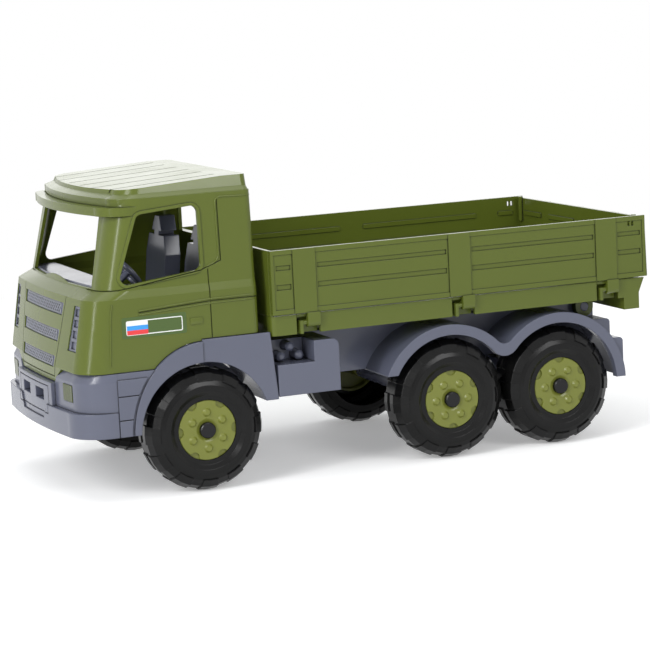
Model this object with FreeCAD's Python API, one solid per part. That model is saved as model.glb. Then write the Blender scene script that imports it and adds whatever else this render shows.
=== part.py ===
"""A moulded plastic toy: a six-wheel military flatbed lorry whose bed tips and whose sides drop.

Lengths are in millimetres. The toy faces +X, its left side is +Y, and it stands on the plane
Z = 0 with the origin below the middle of its length. Places along the toy are measured from
the front axle and turned into X by at().
"""
import FreeCAD, Part
import math
import os

os.makedirs("parts", exist_ok=True)
Vector = FreeCAD.Vector
ALONG_X = Vector(1, 0, 0)
ALONG_Y = Vector(0, 1, 0)
ALONG_Z = Vector(0, 0, 1)

# Places along the toy, from the front axle
front_reach = 98.0
rear_reach = 353.8
front_wheelbase = 189.6
tandem_spacing = 89.0
front_axle_x = (rear_reach - front_reach) / 2
mid_axle_x = front_axle_x - front_wheelbase
rear_axle_x = mid_axle_x - tandem_spacing
axles = {"front": front_axle_x, "middle": mid_axle_x, "rear": rear_axle_x}
cut_overrun = 1.0

# Widths shared by the body's outer pieces and the wheels
body_half_width = 98.0
body_overhang = 1.0
tyre_proud = 2.0
wheel_gap = 6.0

# Wheels
tyre_radius = 43.8
tyre_width = 37.0
tyre_face_y = body_half_width + body_overhang + tyre_proud
tyre_wall = 3.0
tyre_shoulder = 11.0
tyre_groove_radius = 24.6
tyre_bulge_inner_radius = 28.0
tyre_bulge_outer_radius = 32.0
lug_foot_radius = 35.5
lug_height = 1.1
lug_sink = 0.5
lug_count = 12
lug_degrees = 18.0
lug_steps = 2
tread_groove = 4.6
sidewall_drop = 1.4
shoulder_shares = ((0.0, 0.0), (0.62, 0.36), (1.0, 1.0))
hub_radius = 21.5
hub_recess = 2.6
hub_thickness = 3.2
hub_rim_depth = 9.0
hub_rim_wall = 2.0
hub_barrel_radius = 7.0
hub_bolt_count = 6
hub_bolt_circle = 12.8
hub_bolt_radius = 3.2
hub_bolt_top_radius = 1.9
hub_bolt_height = 1.5
hub_notch_radius = 3.8
hub_notch_depth = 1.5
hub_edge = 1.2
hub_dish_radius = 8.4
hub_dish_depth = 1.2
cap_radius = 5.7
cap_depth = 3.6
cap_proud = 2.2
cap_round = 0.8
axle_radius = 2.0
axle_fit = 0.08
axle_end_gap = 0.5
wheel_side_play = 0.5
tyre_inner_y = tyre_face_y - tyre_width
hub_face_y = tyre_face_y - hub_recess
axle_end_y = hub_face_y - cap_depth / 2
wheel_turn_degrees = {"front": 0.0, "middle": 30.0, "rear": 30.0}

# Chassis
chassis_half_width = tyre_inner_y - wheel_gap
chassis_wall = 2.6
chassis_top_z = 99.0
chassis_bottom_z = 66.5
chassis_front_x = 62.0
chassis_nose_top_z = 78.0
chassis_rear_x = -329.6
chassis_deck = 2.6
chassis_deck_front_x = -50.0
crossmember_xs = (58.0, 20.0, -50.0, -92.0, -140.0, -234.0, -329.6)
crossmember_width = 4.0
axle_boss_radius = 7.0
axle_bracket_length = 18.0

# Bed pivot
pivot_x = -319.0
pivot_z = 95.5
pivot_pin_radius = 3.4
pivot_fit = 0.1
lug_radius = 7.4
lug_width = 6.0
lug_gap = 0.6

# Mudguards
guard_half_width = body_half_width + body_overhang
guard_inner_radius = 47.6
guard_outer_radius = 55.2
guard_sheet = 2.2
guard_lip_width = 6.0
guard_valley_inner_round = 11.8
guard_valley_outer_round = 7.8
guard_foot_z = 66.0
guard_tip_z = 45.5
back_low_rear_x = -333.2
back_low_z = 54.0
back_step_z = 75.0
back_high_rear_x = -328.0
back_high_z = 88.5
back_high_inner_y = tyre_inner_y + body_overhang * 2
back_high_margin = 12.0
back_high_outer_y = guard_half_width - back_high_margin
back_low_outer_y = guard_half_width - body_overhang * 2
back_round = 3.0

# Front bumper and fenders
bumper_bottom_z = 46.0
bumper_top_z = 90.5
bumper_wall = 3.0
fender_half_width = body_half_width
fender_arch_radius = 48.2
fender_rear_top_x = -50.6
fender_rear_bottom_x = -54.9
fender_bottom_z = 59.5
fender_top_z = 108.0
fender_band_front = 5.0
fender_band_top = 14.6
side_relief = 0.8
panel_front_x = 63.6
panel_rear_x = 30.0
panel_bottom_z = 58.0
panel_top_z = 86.0
panel_line_z = 74.0
panel_margin = 1.6
line_width = 0.7
line_depth = 0.5
bumper_bulge = 4.5
bumper_corner = 26.0
bumper_ridge_z = 84.5
bumper_lean = 3.5
lip_top_z = 63.5
centre_lip_top_z = 53.0
lip_step_run = 6.0
centre_top_z = 80.0
centre_margin = 55.2
centre_half_width = fender_half_width - centre_margin
notch_step_width = 3.0
notch_step_z = 84.8
notch_spread = 12.6
notch_top_half_width = centre_half_width + notch_spread
frame_line_margin = 6.3
frame_line_half_width = centre_half_width - frame_line_margin
frame_line_bottom_z = 57.0
frame_line_top_z = 77.5
lip_reach = 4.0
bumper_face_x = front_reach - lip_reach
centre_reach = 3.0
bumper_hole_inner_y = 7.0
bumper_hole_margin = 10.5
bumper_hole_outer_y = frame_line_half_width - bumper_hole_margin
lip_step_inner_y = bumper_hole_outer_y
lip_step_outer_y = lip_step_inner_y + lip_step_run
bumper_hole_height = 8.0
bumper_hole_z = 69.5
lamp_centre_gap = 24.2
lamp_y = centre_half_width + lamp_centre_gap
lamp_width = 16.0
lamp_height = 12.0
lamp_z = 76.0
lamp_depth = 2.0
lamp_proud = 0.4
lamp_fit = 0.1

# Side boxes
box_front_x = -55.4
box_rear_x = -102.6
box_bottom_z = 61.0
box_top_z = 98.5
box_half_width = body_half_width
box_corner = 5.0
box_recess_length = 28.0
box_recess_height = 15.0
box_recess_depth = 22.0
tank_radius = 3.4
tank_length = 10.0
tank_tip_share = 0.5
tank_shares = ((0.5, 0.72), (0.25, 0.26), (0.75, 0.26))

# Cab
cab_wall = 2.6
cab_rear_x = -44.0
cab_bottom_z = 91.0
cab_nose_z = 80.8
nose_gap = 0.6
fender_gap = 0.5
cab_nose_half_width = centre_half_width - nose_gap
cab_nose_depth = 8.0
cab_rear_bottom_z = 108.5
cab_side_inset = 1.5
cab_half_width = body_half_width - cab_side_inset
cab_front_bottom_x = 92.6
cab_front_knee_z = 91.5
cab_belt_z = 141.5
cab_belt_front_x = 84.3
cab_belt_slope = 5.5
ledge_z = cab_belt_z + cab_belt_slope
screen_bottom_x = 75.0
screen_top_x = 61.0
cab_shoulder = 1.5
cab_upper_half_width = cab_half_width - cab_shoulder
roof_lean = 4.5
cab_roof_half_width = cab_half_width - roof_lean
cab_front_bulge = 3.5
screen_bulge = 5.0
cab_corner = 20.0
cab_rear_corner = 5.0
screen_height = 51.0
visor_height = 6.0
visor_bottom_z = ledge_z + screen_height
visor_step_z = visor_bottom_z + visor_height
visor_x = 74.0
visor_bulge = 9.0
roof_step_x = 66.0
roof_step_height = 5.5
roof_step_inset = 2.0
roof_step_z = visor_step_z + roof_step_height
roof_step_half_width = cab_roof_half_width - roof_step_inset
roof_brow_x = 60.0
roof_brow_height = 2.5
roof_brow_inset = 3.5
roof_brow_z = roof_step_z + roof_brow_height
roof_brow_half_width = roof_step_half_width - roof_brow_inset
roof_front_x = 57.0
roof_front_height = 2.6
roof_front_z = roof_brow_z + roof_front_height
roof_edge_inset = 2.5
roof_half_width = roof_brow_half_width - roof_edge_inset
roof_rise_x = -26.0
roof_rise = 5.2
roof_top_z = roof_front_z + roof_rise
roof_corner = 16.0
screen_post_bottom = 23.0
screen_post_top = 26.0
screen_half_bottom = cab_upper_half_width - screen_post_bottom
screen_half_top = cab_roof_half_width - screen_post_top
screen_sill = 1.0
screen_sill_z = ledge_z + screen_sill
window_front_x_top = 41.0
window_front_x_bottom = 58.0
window_rear_x = -3.0
window_head_front = 0.5
window_head_rear = 4.0
window_sill_front = 3.0
window_sill_rear = 10.0
window_top_front_z = visor_bottom_z + window_head_front
window_top_rear_z = visor_bottom_z + window_head_rear
window_bottom_front_z = ledge_z + window_sill_front
window_bottom_rear_z = ledge_z + window_sill_rear
window_corner = 5.0
bead_width = 2.2
bead_proud = 0.7
door_rear_x = -18.0
door_low_rear_x = -8.0
belt_line_front_x = 71.0
belt_line_rear_drop = 0.5
belt_line_front_rise = 0.6
belt_line_rear_z = window_bottom_rear_z - belt_line_rear_drop
belt_line_front_z = ledge_z + belt_line_front_rise
crease_front_x = 44.4
crease_front_drop = 10.2
crease_front_z = cab_belt_z - crease_front_drop
crease_middle_x = -7.9
crease_rear_drop = 7.0
crease_rear_z = cab_belt_z - crease_rear_drop
nose_line_z = 84.0
rear_window_post = 35.0
rear_window_half_width = cab_upper_half_width - rear_window_post
rear_window_sill = 21.0
rear_window_bottom_z = ledge_z + rear_window_sill
rear_window_top_z = visor_bottom_z - roof_step_inset
groove_shares = (0.16, 0.483, 0.801)
groove_width = 1.1
groove_depth = 0.8
groove_front_x = 56.0
groove_rear_x = -26.0
slot_zs = ((136.6, 127.7), (117.4, 108.9), (98.7, 90.6))
slot_taper = 0.2
vent_margin = 17.0
vent_top_width = 10.5
vent_bottom_width = 15.7
slot_vent_gap = 15.6
vent_outer_y = cab_half_width - vent_margin
vent_inner_top_y = vent_outer_y - vent_top_width
vent_inner_bottom_y = vent_outer_y - vent_bottom_width
slot_half_width = vent_inner_bottom_y - slot_vent_gap
vent_bottom_z = 105.3
vent_top_z = 137.0
insert_sink = 0.8
insert_thickness = 1.8
insert_clearance = 0.15
vent_pocket_depth = 1.0
vent_pocket_half_width = 3.6
vent_pocket_height = 5.2
vent_pocket_shares = (0.13, 0.37, 0.61, 0.85)
front_seam_gap = 2.6

# Cab interior
dash_gap = 0.2
dash_wall = 2.2
dash_rise = 2.0
dash_height = 21.0
dash_top_z = ledge_z + dash_rise
dash_bottom_z = dash_top_z - dash_height
dash_rear_x = 50.0
dash_side_gap = 8.5
dash_half_width = cab_half_width - dash_side_gap
floor_z = 112.0
floor_thickness = 2.4
floor_half_width = dash_half_width
floor_front_x = 66.0
floor_rib_inset = 6.0
floor_rib_y = chassis_half_width - floor_rib_inset
floor_rib_front_x = 60.0
floor_rib_rear_x = -40.0
console_half_width = 9.0
seat_front_x = 16.0
console_front_x = seat_front_x
console_height = 14.0
console_top_z = floor_z + console_height
seat_console_gap = 13.0
seat_door_gap = 22.0
seat_width = floor_half_width - seat_door_gap - seat_console_gap - console_half_width
seat_y = floor_half_width - seat_door_gap - seat_width / 2
seat_rear_x = -26.0
seat_height = 18.0
seat_back_height = 38.0
seat_base_z = floor_z + seat_height
seat_top_z = seat_base_z + seat_back_height
seat_back_thickness = 12.0
seat_shoulder_drop = 14.0
seat_shoulder_z = seat_top_z - seat_shoulder_drop
seat_shoulder_inset = 5.0
seat_shoulder_width = seat_width - seat_shoulder_inset * 2
seat_cushion_lip = 4.0
seat_lean = 5.0
headrest_width = seat_width / 2
headrest_gap = 3.0
headrest_post_width = 10.0
headrest_top_z = seat_top_z + seat_shoulder_drop
wheel_centre_x = 34.0
wheel_centre_rise = 4.0
wheel_centre_z = dash_top_z + wheel_centre_rise
steering_radius = 13.0
steering_tube = 1.8
steering_tilt_degrees = 38.0
column_radius = 2.4

# Bed
bed_front_x = -51.8
bed_rear_x = -349.4
bed_half_width = body_half_width + body_overhang
bed_floor_top_z = 119.2
floor_panel_rise = 0.6
floor_panel_margin = 4.6
bed_edge_z = bed_floor_top_z - floor_panel_rise
bed_floor = 2.6
skirt_bottom_z = 104.6
skirt_wall = 2.4
hinge_z = 112.4
hinge_inset = 0.4
hinge_axis_y = bed_half_width - hinge_inset
hinge_pin_radius = 1.7
hinge_fit = 0.1
knuckle_radius = 3.3
tail_knuckle_radius = 2.9
hinge_front_xs = (-70.7, -192.4, -311.4)
hinge_recess_length = 18.0
hinge_recess_depth = 6.6
hinge_edge_gap = 0.6
hinge_arm = 2.4
hinge_arm_offset = 2.2
hinge_pin_length = 12.6
knuckle_offset = 7.8
knuckle_length = 9.6
beam_front_x = -334.2
beam_rear_x = -347.0
beam_bottom_z = 95.6
beam_wall = 2.6
beam_plate = 2.4
beam_nose_x = -352.6
beam_nose_z = 107.6
headboard_thickness = 2.6
headboard_top_z = 165.4
headboard_gap = 0.4
bearer_inset = 8.0
bearer_y = chassis_half_width - bearer_inset
bearer_width = 2.4
bearer_bottom_z = 99.3
bearer_front_x = -60.0
bearer_rear_x = -306.0
bed_corner = 4.0
rib_xs = (-98.0, -146.0, -226.0, -274.0)
rib_thickness = 2.2
rib_bottom_z = 108.0

# Drop sides and tailgate
board_front_x = -52.6
board_rear_x = -rear_reach
board_inset = 1.0
board_inner_y = bed_half_width - board_inset
board_thickness = 2.2
board_bottom_z = 119.6
board_top_z = 165.4
post_width = 17.2
post_proud = 1.0
post_front_xs = (-69.2, -190.4, -310.8)
rim_height = 3.4
board_end_slant = 1.1
end_rim_width = 2.4
channel_zs = ((150.9, 154.4), (137.0, 140.9))
channel_depth = 0.7
channel_end_gap = 1.6
ridge_proud = 0.7
clip_slot_xs = (-338.2, -341.4)
clip_slot_width = 2.0
clip_slot_z = 160.0
clip_slot_height = 3.6
latch_radius = 1.9
latch_inset = 5.4
latch_y = board_inner_y - latch_inset
latch_bottom_z = 146.0
latch_top_z = 165.6
tailgate_top_z = 164.4
tailgate_thickness = 2.4
tailgate_x = -350.0
tailgate_side_gap = 1.8
tailgate_hinge_x = -350.4
tail_hinge_shares = (-0.606, -0.0485, 0.509)
tail_hinge_ys = [bed_half_width * share for share in tail_hinge_shares]


def at(distance):
    """X of a place given by its distance from the front axle."""
    return front_axle_x + distance


def box(x0, x1, y0, y1, z0, z1):
    """A block between two corners, in any order."""
    low = Vector(min(x0, x1), min(y0, y1), min(z0, z1))
    return Part.makeBox(abs(x1 - x0), abs(y1 - y0), abs(z1 - z0), low)


def rod(start, direction, radius, length):
    """A round bar from a point along a direction."""
    return Part.makeCylinder(radius, length, start, direction)


def side_prism(points, y0, y1):
    """An outline in the X-Z plane, drawn out along Y."""
    ring = [Vector(x, y0, z) for x, z in points]
    face = Part.Face(Part.makePolygon(ring + ring[:1]))
    return face.extrude(Vector(0, y1 - y0, 0))


def end_prism(points, x0, x1):
    """An outline in the Y-Z plane, drawn out along X."""
    ring = [Vector(x0, y, z) for y, z in points]
    face = Part.Face(Part.makePolygon(ring + ring[:1]))
    return face.extrude(Vector(x1 - x0, 0, 0))


def fuse(shapes):
    """One solid made of several that touch or overlap."""
    first, rest = shapes[0], shapes[1:]
    return first.multiFuse(rest).removeSplitter() if rest else first


def cut(shape, tools):
    """A shape with others taken out of it."""
    return shape.cut(tools[0].multiFuse(tools[1:]) if len(tools) > 1 else tools[0])


def mirrored(shape):
    """The same piece on the other side of the toy."""
    return shape.mirror(Vector(0, 0, 0), ALONG_Y)


def both_sides(shape):
    """A piece and its mirror image."""
    return [shape, mirrored(shape)]


def export(name, solids):
    """Write one node, a single solid or several that do not touch."""
    shape = solids[0] if len(solids) == 1 else Part.makeCompound(solids)
    shape.exportStep("parts/" + name + ".step")


def plan_outline(z, front_x, bulge, half_width, corner, rear_x, rear_corner):
    """A closed outline in plan: bulged front, rounded corners and straight sides."""
    slack = 1 - math.sqrt(1 / 2)
    shoulder_x = front_x - bulge
    front_y = half_width - corner
    arcs = [
        Part.Arc(Vector(shoulder_x, -front_y, z), Vector(front_x, 0, z), Vector(shoulder_x, front_y, z)),
        Part.Arc(Vector(shoulder_x, front_y, z),
                 Vector(shoulder_x - corner * slack, half_width - corner * slack, z),
                 Vector(shoulder_x - corner, half_width, z)),
        Part.LineSegment(Vector(shoulder_x - corner, half_width, z),
                         Vector(rear_x + rear_corner, half_width, z)),
        Part.Arc(Vector(rear_x + rear_corner, half_width, z),
                 Vector(rear_x + rear_corner * slack, half_width - rear_corner * slack, z),
                 Vector(rear_x, half_width - rear_corner, z)),
        Part.LineSegment(Vector(rear_x, half_width - rear_corner, z),
                         Vector(rear_x, rear_corner - half_width, z)),
        Part.Arc(Vector(rear_x, rear_corner - half_width, z),
                 Vector(rear_x + rear_corner * slack, rear_corner * slack - half_width, z),
                 Vector(rear_x + rear_corner, -half_width, z)),
        Part.LineSegment(Vector(rear_x + rear_corner, -half_width, z),
                         Vector(shoulder_x - corner, -half_width, z)),
        Part.Arc(Vector(shoulder_x - corner, -half_width, z),
                 Vector(shoulder_x - corner * slack, corner * slack - half_width, z),
                 Vector(shoulder_x, -front_y, z)),
    ]
    return Part.Wire([arc.toShape() for arc in arcs])


def stack(outlines):
    """A solid through plan outlines, each joined to the next by ruled sides."""
    return Part.makeLoft(outlines, True, True)


def turned_facets(outline, first_degrees, last_degrees, steps):
    """A flat-faced solid: an outline of (radius, Y) points turned in steps about the Y axis."""
    rings = []
    for count in range(steps + 1):
        angle = math.radians(first_degrees + (last_degrees - first_degrees) * count / steps)
        rings.append([Vector(radius * math.cos(angle), y, radius * math.sin(angle)) for radius, y in outline])
    loops = [rings[0], rings[-1]]
    for ring, other in zip(rings, rings[1:]):
        for here, there in zip(range(-1, len(outline) - 1), range(len(outline))):
            loops.append([ring[here], ring[there], other[there], other[here]])
    faces = [Part.Face(Part.makePolygon(loop + loop[:1])) for loop in loops]
    solid = Part.Solid(Part.makeShell(faces))
    if solid.Volume < 0:
        solid.reverse()
    return solid


def shoulder_line(crown_radius, drop):
    """Points from the lugs' foot over the shoulder to the crown, as (radius, depth from the face)."""
    return [(lug_foot_radius + (crown_radius - lug_foot_radius) * share_out,
             drop + (tyre_shoulder - drop) * share_in) for share_out, share_in in shoulder_shares]


def tyre_outline():
    """Half section of the tyre without its lugs, as (radius, Y) points."""
    carcass_radius = tyre_radius - lug_height
    side = shoulder_line(carcass_radius, sidewall_drop)
    inside_radius = carcass_radius - tyre_wall
    wall = tyre_wall
    outer = [(hub_radius, hub_face_y), (tyre_groove_radius, hub_face_y),
             (tyre_bulge_inner_radius, tyre_face_y), (tyre_bulge_outer_radius, tyre_face_y)]
    outer += [(radius, tyre_face_y - depth) for radius, depth in side]
    outer += [(radius, tyre_inner_y + depth) for radius, depth in reversed(side)]
    outer.append((tyre_bulge_outer_radius, tyre_inner_y))
    inner = [(tyre_bulge_outer_radius - wall, tyre_inner_y), (tyre_bulge_outer_radius - wall, tyre_inner_y + wall),
             (lug_foot_radius - wall, tyre_inner_y + wall + sidewall_drop),
             (inside_radius, tyre_inner_y + tyre_shoulder), (inside_radius, tyre_face_y - tyre_shoulder),
             (lug_foot_radius - wall, tyre_face_y - wall - sidewall_drop),
             (tyre_bulge_inner_radius, tyre_face_y - wall), (tyre_groove_radius, hub_face_y - wall),
             (hub_radius, hub_face_y - wall)]
    return outer + inner


def tyre():
    """A left tyre about the Y axis: a hollow moulding, open inside, with two rows of block lugs."""
    ring = [Vector(radius, y, 0) for radius, y in tyre_outline()]
    carcass = Part.Face(Part.makePolygon(ring + ring[:1])).revolve(Vector(0, 0, 0), ALONG_Y, 360)
    top = shoulder_line(tyre_radius, sidewall_drop - lug_height)
    foot = shoulder_line(tyre_radius - lug_height - lug_sink, sidewall_drop + lug_sink)
    reach = (tyre_width - tread_groove) / 2
    outline = top + [(tyre_radius, reach), (tyre_radius - lug_height - lug_sink, reach)] + foot[::-1]
    lugs = []
    for rim_y, sign in ((tyre_face_y, -1), (tyre_inner_y, 1)):
        section = [(radius, rim_y + sign * depth) for radius, depth in outline]
        for count in range(lug_count):
            middle = 360 / lug_count * count
            lugs.append(turned_facets(section, middle - lug_degrees / 2, middle + lug_degrees / 2, lug_steps))
    return carcass.multiFuse(lugs)


def hub():
    """A left hub about the Y axis: a disc with bolt heads, rim notches, a rim and an axle barrel."""
    disc_back_y = hub_face_y - hub_thickness
    rim_back_y = hub_face_y - hub_rim_depth
    disc = rod(Vector(0, disc_back_y, 0), ALONG_Y, hub_radius, hub_thickness - hub_edge)
    edge = Part.makeCone(hub_radius, hub_radius - hub_edge / 2, hub_edge,
                         Vector(0, hub_face_y - hub_edge, 0), ALONG_Y)
    rim = rod(Vector(0, rim_back_y, 0), ALONG_Y, hub_radius, hub_rim_depth - hub_edge)
    rim = rim.cut(rod(Vector(0, rim_back_y, 0), ALONG_Y, hub_radius - hub_rim_wall, hub_rim_depth))
    barrel = rod(Vector(0, tyre_inner_y, 0), ALONG_Y, hub_barrel_radius, disc_back_y - tyre_inner_y)
    body = fuse([disc, edge, rim, barrel])
    bolt = Part.makeCone(hub_bolt_radius, hub_bolt_top_radius, hub_bolt_height,
                         Vector(hub_bolt_circle, hub_face_y, 0), ALONG_Y)
    notch = rod(Vector(hub_radius, hub_face_y - hub_notch_depth, 0), ALONG_Y, hub_notch_radius,
                hub_notch_depth + cut_overrun)
    bolts, notches = [], []
    for count in range(hub_bolt_count):
        turn = 90 + count * 360 / hub_bolt_count
        bolts.append(bolt.copy().rotate(Vector(0, 0, 0), ALONG_Y, turn))
        notches.append(notch.copy().rotate(Vector(0, 0, 0), ALONG_Y, turn + 180 / hub_bolt_count))
    body = fuse([cut(body, notches)] + bolts)
    dish = Part.makeCone(cap_radius, hub_dish_radius, hub_dish_depth,
                         Vector(0, hub_face_y - hub_dish_depth, 0), ALONG_Y)
    seat = rod(Vector(0, hub_face_y - cap_depth, 0), ALONG_Y, cap_radius, cap_depth + cut_overrun)
    bore = rod(Vector(0, tyre_inner_y - cut_overrun, 0), ALONG_Y, axle_radius + axle_fit, tyre_width)
    return cut(body, [dish, seat, bore])


def cap():
    """A left hub cap about the Y axis, a cup pressed into the hub over the axle's end."""
    back_y = hub_face_y - cap_depth
    body = rod(Vector(0, back_y, 0), ALONG_Y, cap_radius, cap_depth + cap_proud)
    front = [edge for edge in body.Edges if edge.BoundBox.YMin > back_y + cap_depth]
    body = body.makeChamfer(cap_round, front)
    room_radius = axle_radius + axle_end_gap
    return body.cut(rod(Vector(0, back_y, 0), ALONG_Y, room_radius, axle_end_y - back_y + axle_end_gap))


def axle(x):
    """A steel pin right through the chassis, which carries a wheel at each end."""
    return rod(Vector(x, -axle_end_y, tyre_radius), ALONG_Y, axle_radius, axle_end_y * 2)


def chassis_frame():
    """Two side walls, a deck, cross walls and the bosses that hold the axles."""
    rear, front = at(chassis_rear_x), at(chassis_front_x)
    inner = chassis_half_width - chassis_wall
    solids = []
    for sign in (-1, 1):
        solids.append(box(rear, at(cab_rear_x), sign * inner, sign * chassis_half_width,
                          chassis_bottom_z, chassis_top_z))
        solids.append(box(at(cab_rear_x), front, sign * inner, sign * chassis_half_width,
                          chassis_bottom_z, chassis_nose_top_z))
    solids.append(box(rear, at(chassis_deck_front_x), -inner, inner,
                      chassis_top_z - chassis_deck, chassis_top_z))
    for x in crossmember_xs:
        top = chassis_nose_top_z if x > cab_rear_x else chassis_top_z
        solids.append(box(at(x), at(x) + crossmember_width, -inner, inner, chassis_bottom_z, top))
    for x in axles.values():
        boss_end = tyre_inner_y - wheel_side_play
        solids.append(rod(Vector(x, -boss_end, tyre_radius), ALONG_Y, axle_boss_radius, boss_end * 2))
        half = axle_bracket_length / 2
        for sign in (-1, 1):
            y = sign * chassis_half_width
            solids.append(box(x - half, x + half, y - sign * chassis_wall, y, tyre_radius,
                              chassis_bottom_z + chassis_wall))
    for sign in (-1, 1):
        start = Vector(at(pivot_x), sign * inner, pivot_z)
        solids.append(rod(start, ALONG_Y * sign, pivot_pin_radius, chassis_wall + lug_gap + lug_width))
    body = fuse(solids)
    bores = [rod(Vector(x, -tyre_face_y, tyre_radius), ALONG_Y, axle_radius, tyre_face_y * 2)
             for x in axles.values()]
    return cut(body, bores)


def tangent_point(centre, radius, other):
    """The point of a circle that faces another centre, both as (x, z)."""
    dx, dz = other[0] - centre[0], other[1] - centre[1]
    length = math.hypot(dx, dz)
    return centre[0] + radius * dx / length, centre[1] + radius * dz / length


def valley(radius, rounding):
    """Centre of the rounding between two equal circles about the tandem axles."""
    half = tandem_spacing / 2
    rise = math.sqrt((radius + rounding) ** 2 - half ** 2)
    return (mid_axle_x + rear_axle_x) / 2, tyre_radius + rise


def arc_point(centre, radius, degrees):
    """A point of a circle in the X-Z plane, measured from +X towards +Z."""
    angle = math.radians(degrees)
    return centre[0] + radius * math.cos(angle), centre[1] + radius * math.sin(angle)


def flat_arc(start, middle, end, y):
    """An arc through three (x, z) points in the plane of a given y."""
    return Part.Arc(Vector(start[0], y, start[1]), Vector(middle[0], y, middle[1]),
                    Vector(end[0], y, end[1])).toShape()


def flat_line(start, end, y):
    """A straight edge between two (x, z) points in the plane of a given y."""
    return Part.makeLine(Vector(start[0], y, start[1]), Vector(end[0], y, end[1]))


def angle_of(centre, point):
    """The direction from a centre to a point, in degrees."""
    return math.degrees(math.atan2(point[1] - centre[1], point[0] - centre[0]))


def arch_path(radius, rounding, y, foot_z, tip_z):
    """Edges over both tandem wheels, from the front foot to the rear tip, and its two ends."""
    mid, rear = (mid_axle_x, tyre_radius), (rear_axle_x, tyre_radius)
    dip = valley(radius, rounding)
    start_angle = math.degrees(math.asin((foot_z - tyre_radius) / radius))
    end_angle = 180 - math.degrees(math.asin((tip_z - tyre_radius) / radius))
    start, end = arc_point(mid, radius, start_angle), arc_point(rear, radius, end_angle)
    join_mid, join_rear = tangent_point(mid, radius, dip), tangent_point(rear, radius, dip)
    mid_angle, rear_angle = angle_of(mid, join_mid), angle_of(rear, join_rear)
    edges = [
        flat_arc(start, arc_point(mid, radius, (start_angle + mid_angle) / 2), join_mid, y),
        flat_arc(join_mid, (dip[0], dip[1] - rounding), join_rear, y),
        flat_arc(join_rear, arc_point(rear, radius, (rear_angle + end_angle) / 2), end, y),
    ]
    return edges, start, end


def arch_band(inner_radius, inner_round, outer_radius, outer_round, y0, y1):
    """A band over both tandem wheels between two arch lines, drawn out along Y."""
    inner, inner_start, inner_end = arch_path(inner_radius, inner_round, y0, guard_foot_z, guard_tip_z)
    outer, outer_start, outer_end = arch_path(outer_radius, outer_round, y0, guard_foot_z, guard_tip_z)
    edges = inner + [flat_line(inner_end, outer_end, y0)] + outer + [flat_line(inner_start, outer_start, y0)]
    face = Part.Face(Part.Wire(Part.__sortEdges__(edges)))
    return face.extrude(Vector(0, y1 - y0, 0))


def mudguard():
    """The left tandem mudguard: a sheet over both wheels with a deep outer lip."""
    lip = arch_band(guard_inner_radius, guard_valley_inner_round, guard_outer_radius,
                    guard_valley_outer_round, guard_half_width - guard_lip_width, guard_half_width)
    sheet_inner = guard_outer_radius - guard_sheet
    sheet = arch_band(sheet_inner, guard_valley_outer_round + guard_sheet, guard_outer_radius,
                      guard_valley_outer_round, chassis_half_width, guard_half_width - guard_lip_width)
    low = box(at(back_low_rear_x), rear_axle_x, chassis_half_width, back_low_outer_y, back_low_z, back_step_z)
    high = box(at(back_high_rear_x), rear_axle_x, back_high_inner_y, back_high_outer_y, back_step_z,
               back_high_z)
    steps = []
    for step in (low, high):
        rear = [edge for edge in step.Edges if edge.BoundBox.XMax < rear_axle_x - cut_overrun
                and edge.BoundBox.ZMin > step.BoundBox.ZMax - cut_overrun]
        steps.append(step.makeFillet(back_round, rear))
    over_wheel = rod(Vector(rear_axle_x, 0, tyre_radius), ALONG_Y, sheet_inner + guard_sheet / 2,
                     guard_half_width)
    return fuse([lip, sheet, fuse(steps).cut(over_wheel)])


def arch_ellipse(grow, y0, y1):
    """An elliptical block about the front axle, whose upper front quarter bounds the fender's band."""
    centre = Vector(front_axle_x, y0, tyre_radius)
    half_z = fender_arch_radius + fender_band_top + grow
    half_x = fender_arch_radius + fender_band_front + grow
    curve = Part.Ellipse(centre + ALONG_Z * half_z, centre + ALONG_X * half_x, centre)
    return Part.Face(Part.Wire(curve.toShape())).extrude(ALONG_Y * (y1 - y0))


def fender_profile(y0, y1, relief):
    """Side outline of the left fender with its wheel arch, from the bumper to the side box."""
    corner_x = at(bumper_face_x - bumper_bulge - bumper_corner)
    band_y = y1 + relief
    front = box(at(0), corner_x, y0, y1, bumper_bottom_z, bumper_top_z)
    band = arch_ellipse(0, y0, band_y).common(box(at(0), corner_x, y0, band_y, bumper_bottom_z, fender_top_z))
    rear = side_prism([
        (at(fender_rear_bottom_x), fender_bottom_z), (at(fender_rear_top_x), fender_top_z),
        (at(0), fender_top_z), (at(0), fender_bottom_z),
    ], y0, y1)
    hole = rod(Vector(front_axle_x, y0, tyre_radius), ALONG_Y, fender_arch_radius, band_y - y0)
    return fuse([front, band, rear]).cut(hole)


def side_panel():
    """The raised panel on the left between the bumper's corner and the arch, with its parting line."""
    inner, outer = fender_half_width - bumper_wall / 2, fender_half_width + side_relief
    panel = box(at(panel_rear_x), at(panel_front_x), inner, outer, panel_bottom_z, panel_top_z)
    low = box(at(panel_rear_x), at(panel_front_x), inner, outer, bumper_bottom_z, panel_bottom_z - line_width)
    line = box(at(panel_rear_x), at(panel_front_x), fender_half_width, outer, panel_line_z,
               panel_line_z + line_width)
    hole = arch_ellipse(panel_margin, inner, outer)
    return [panel.cut(line).cut(hole), low.cut(hole)]


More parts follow.
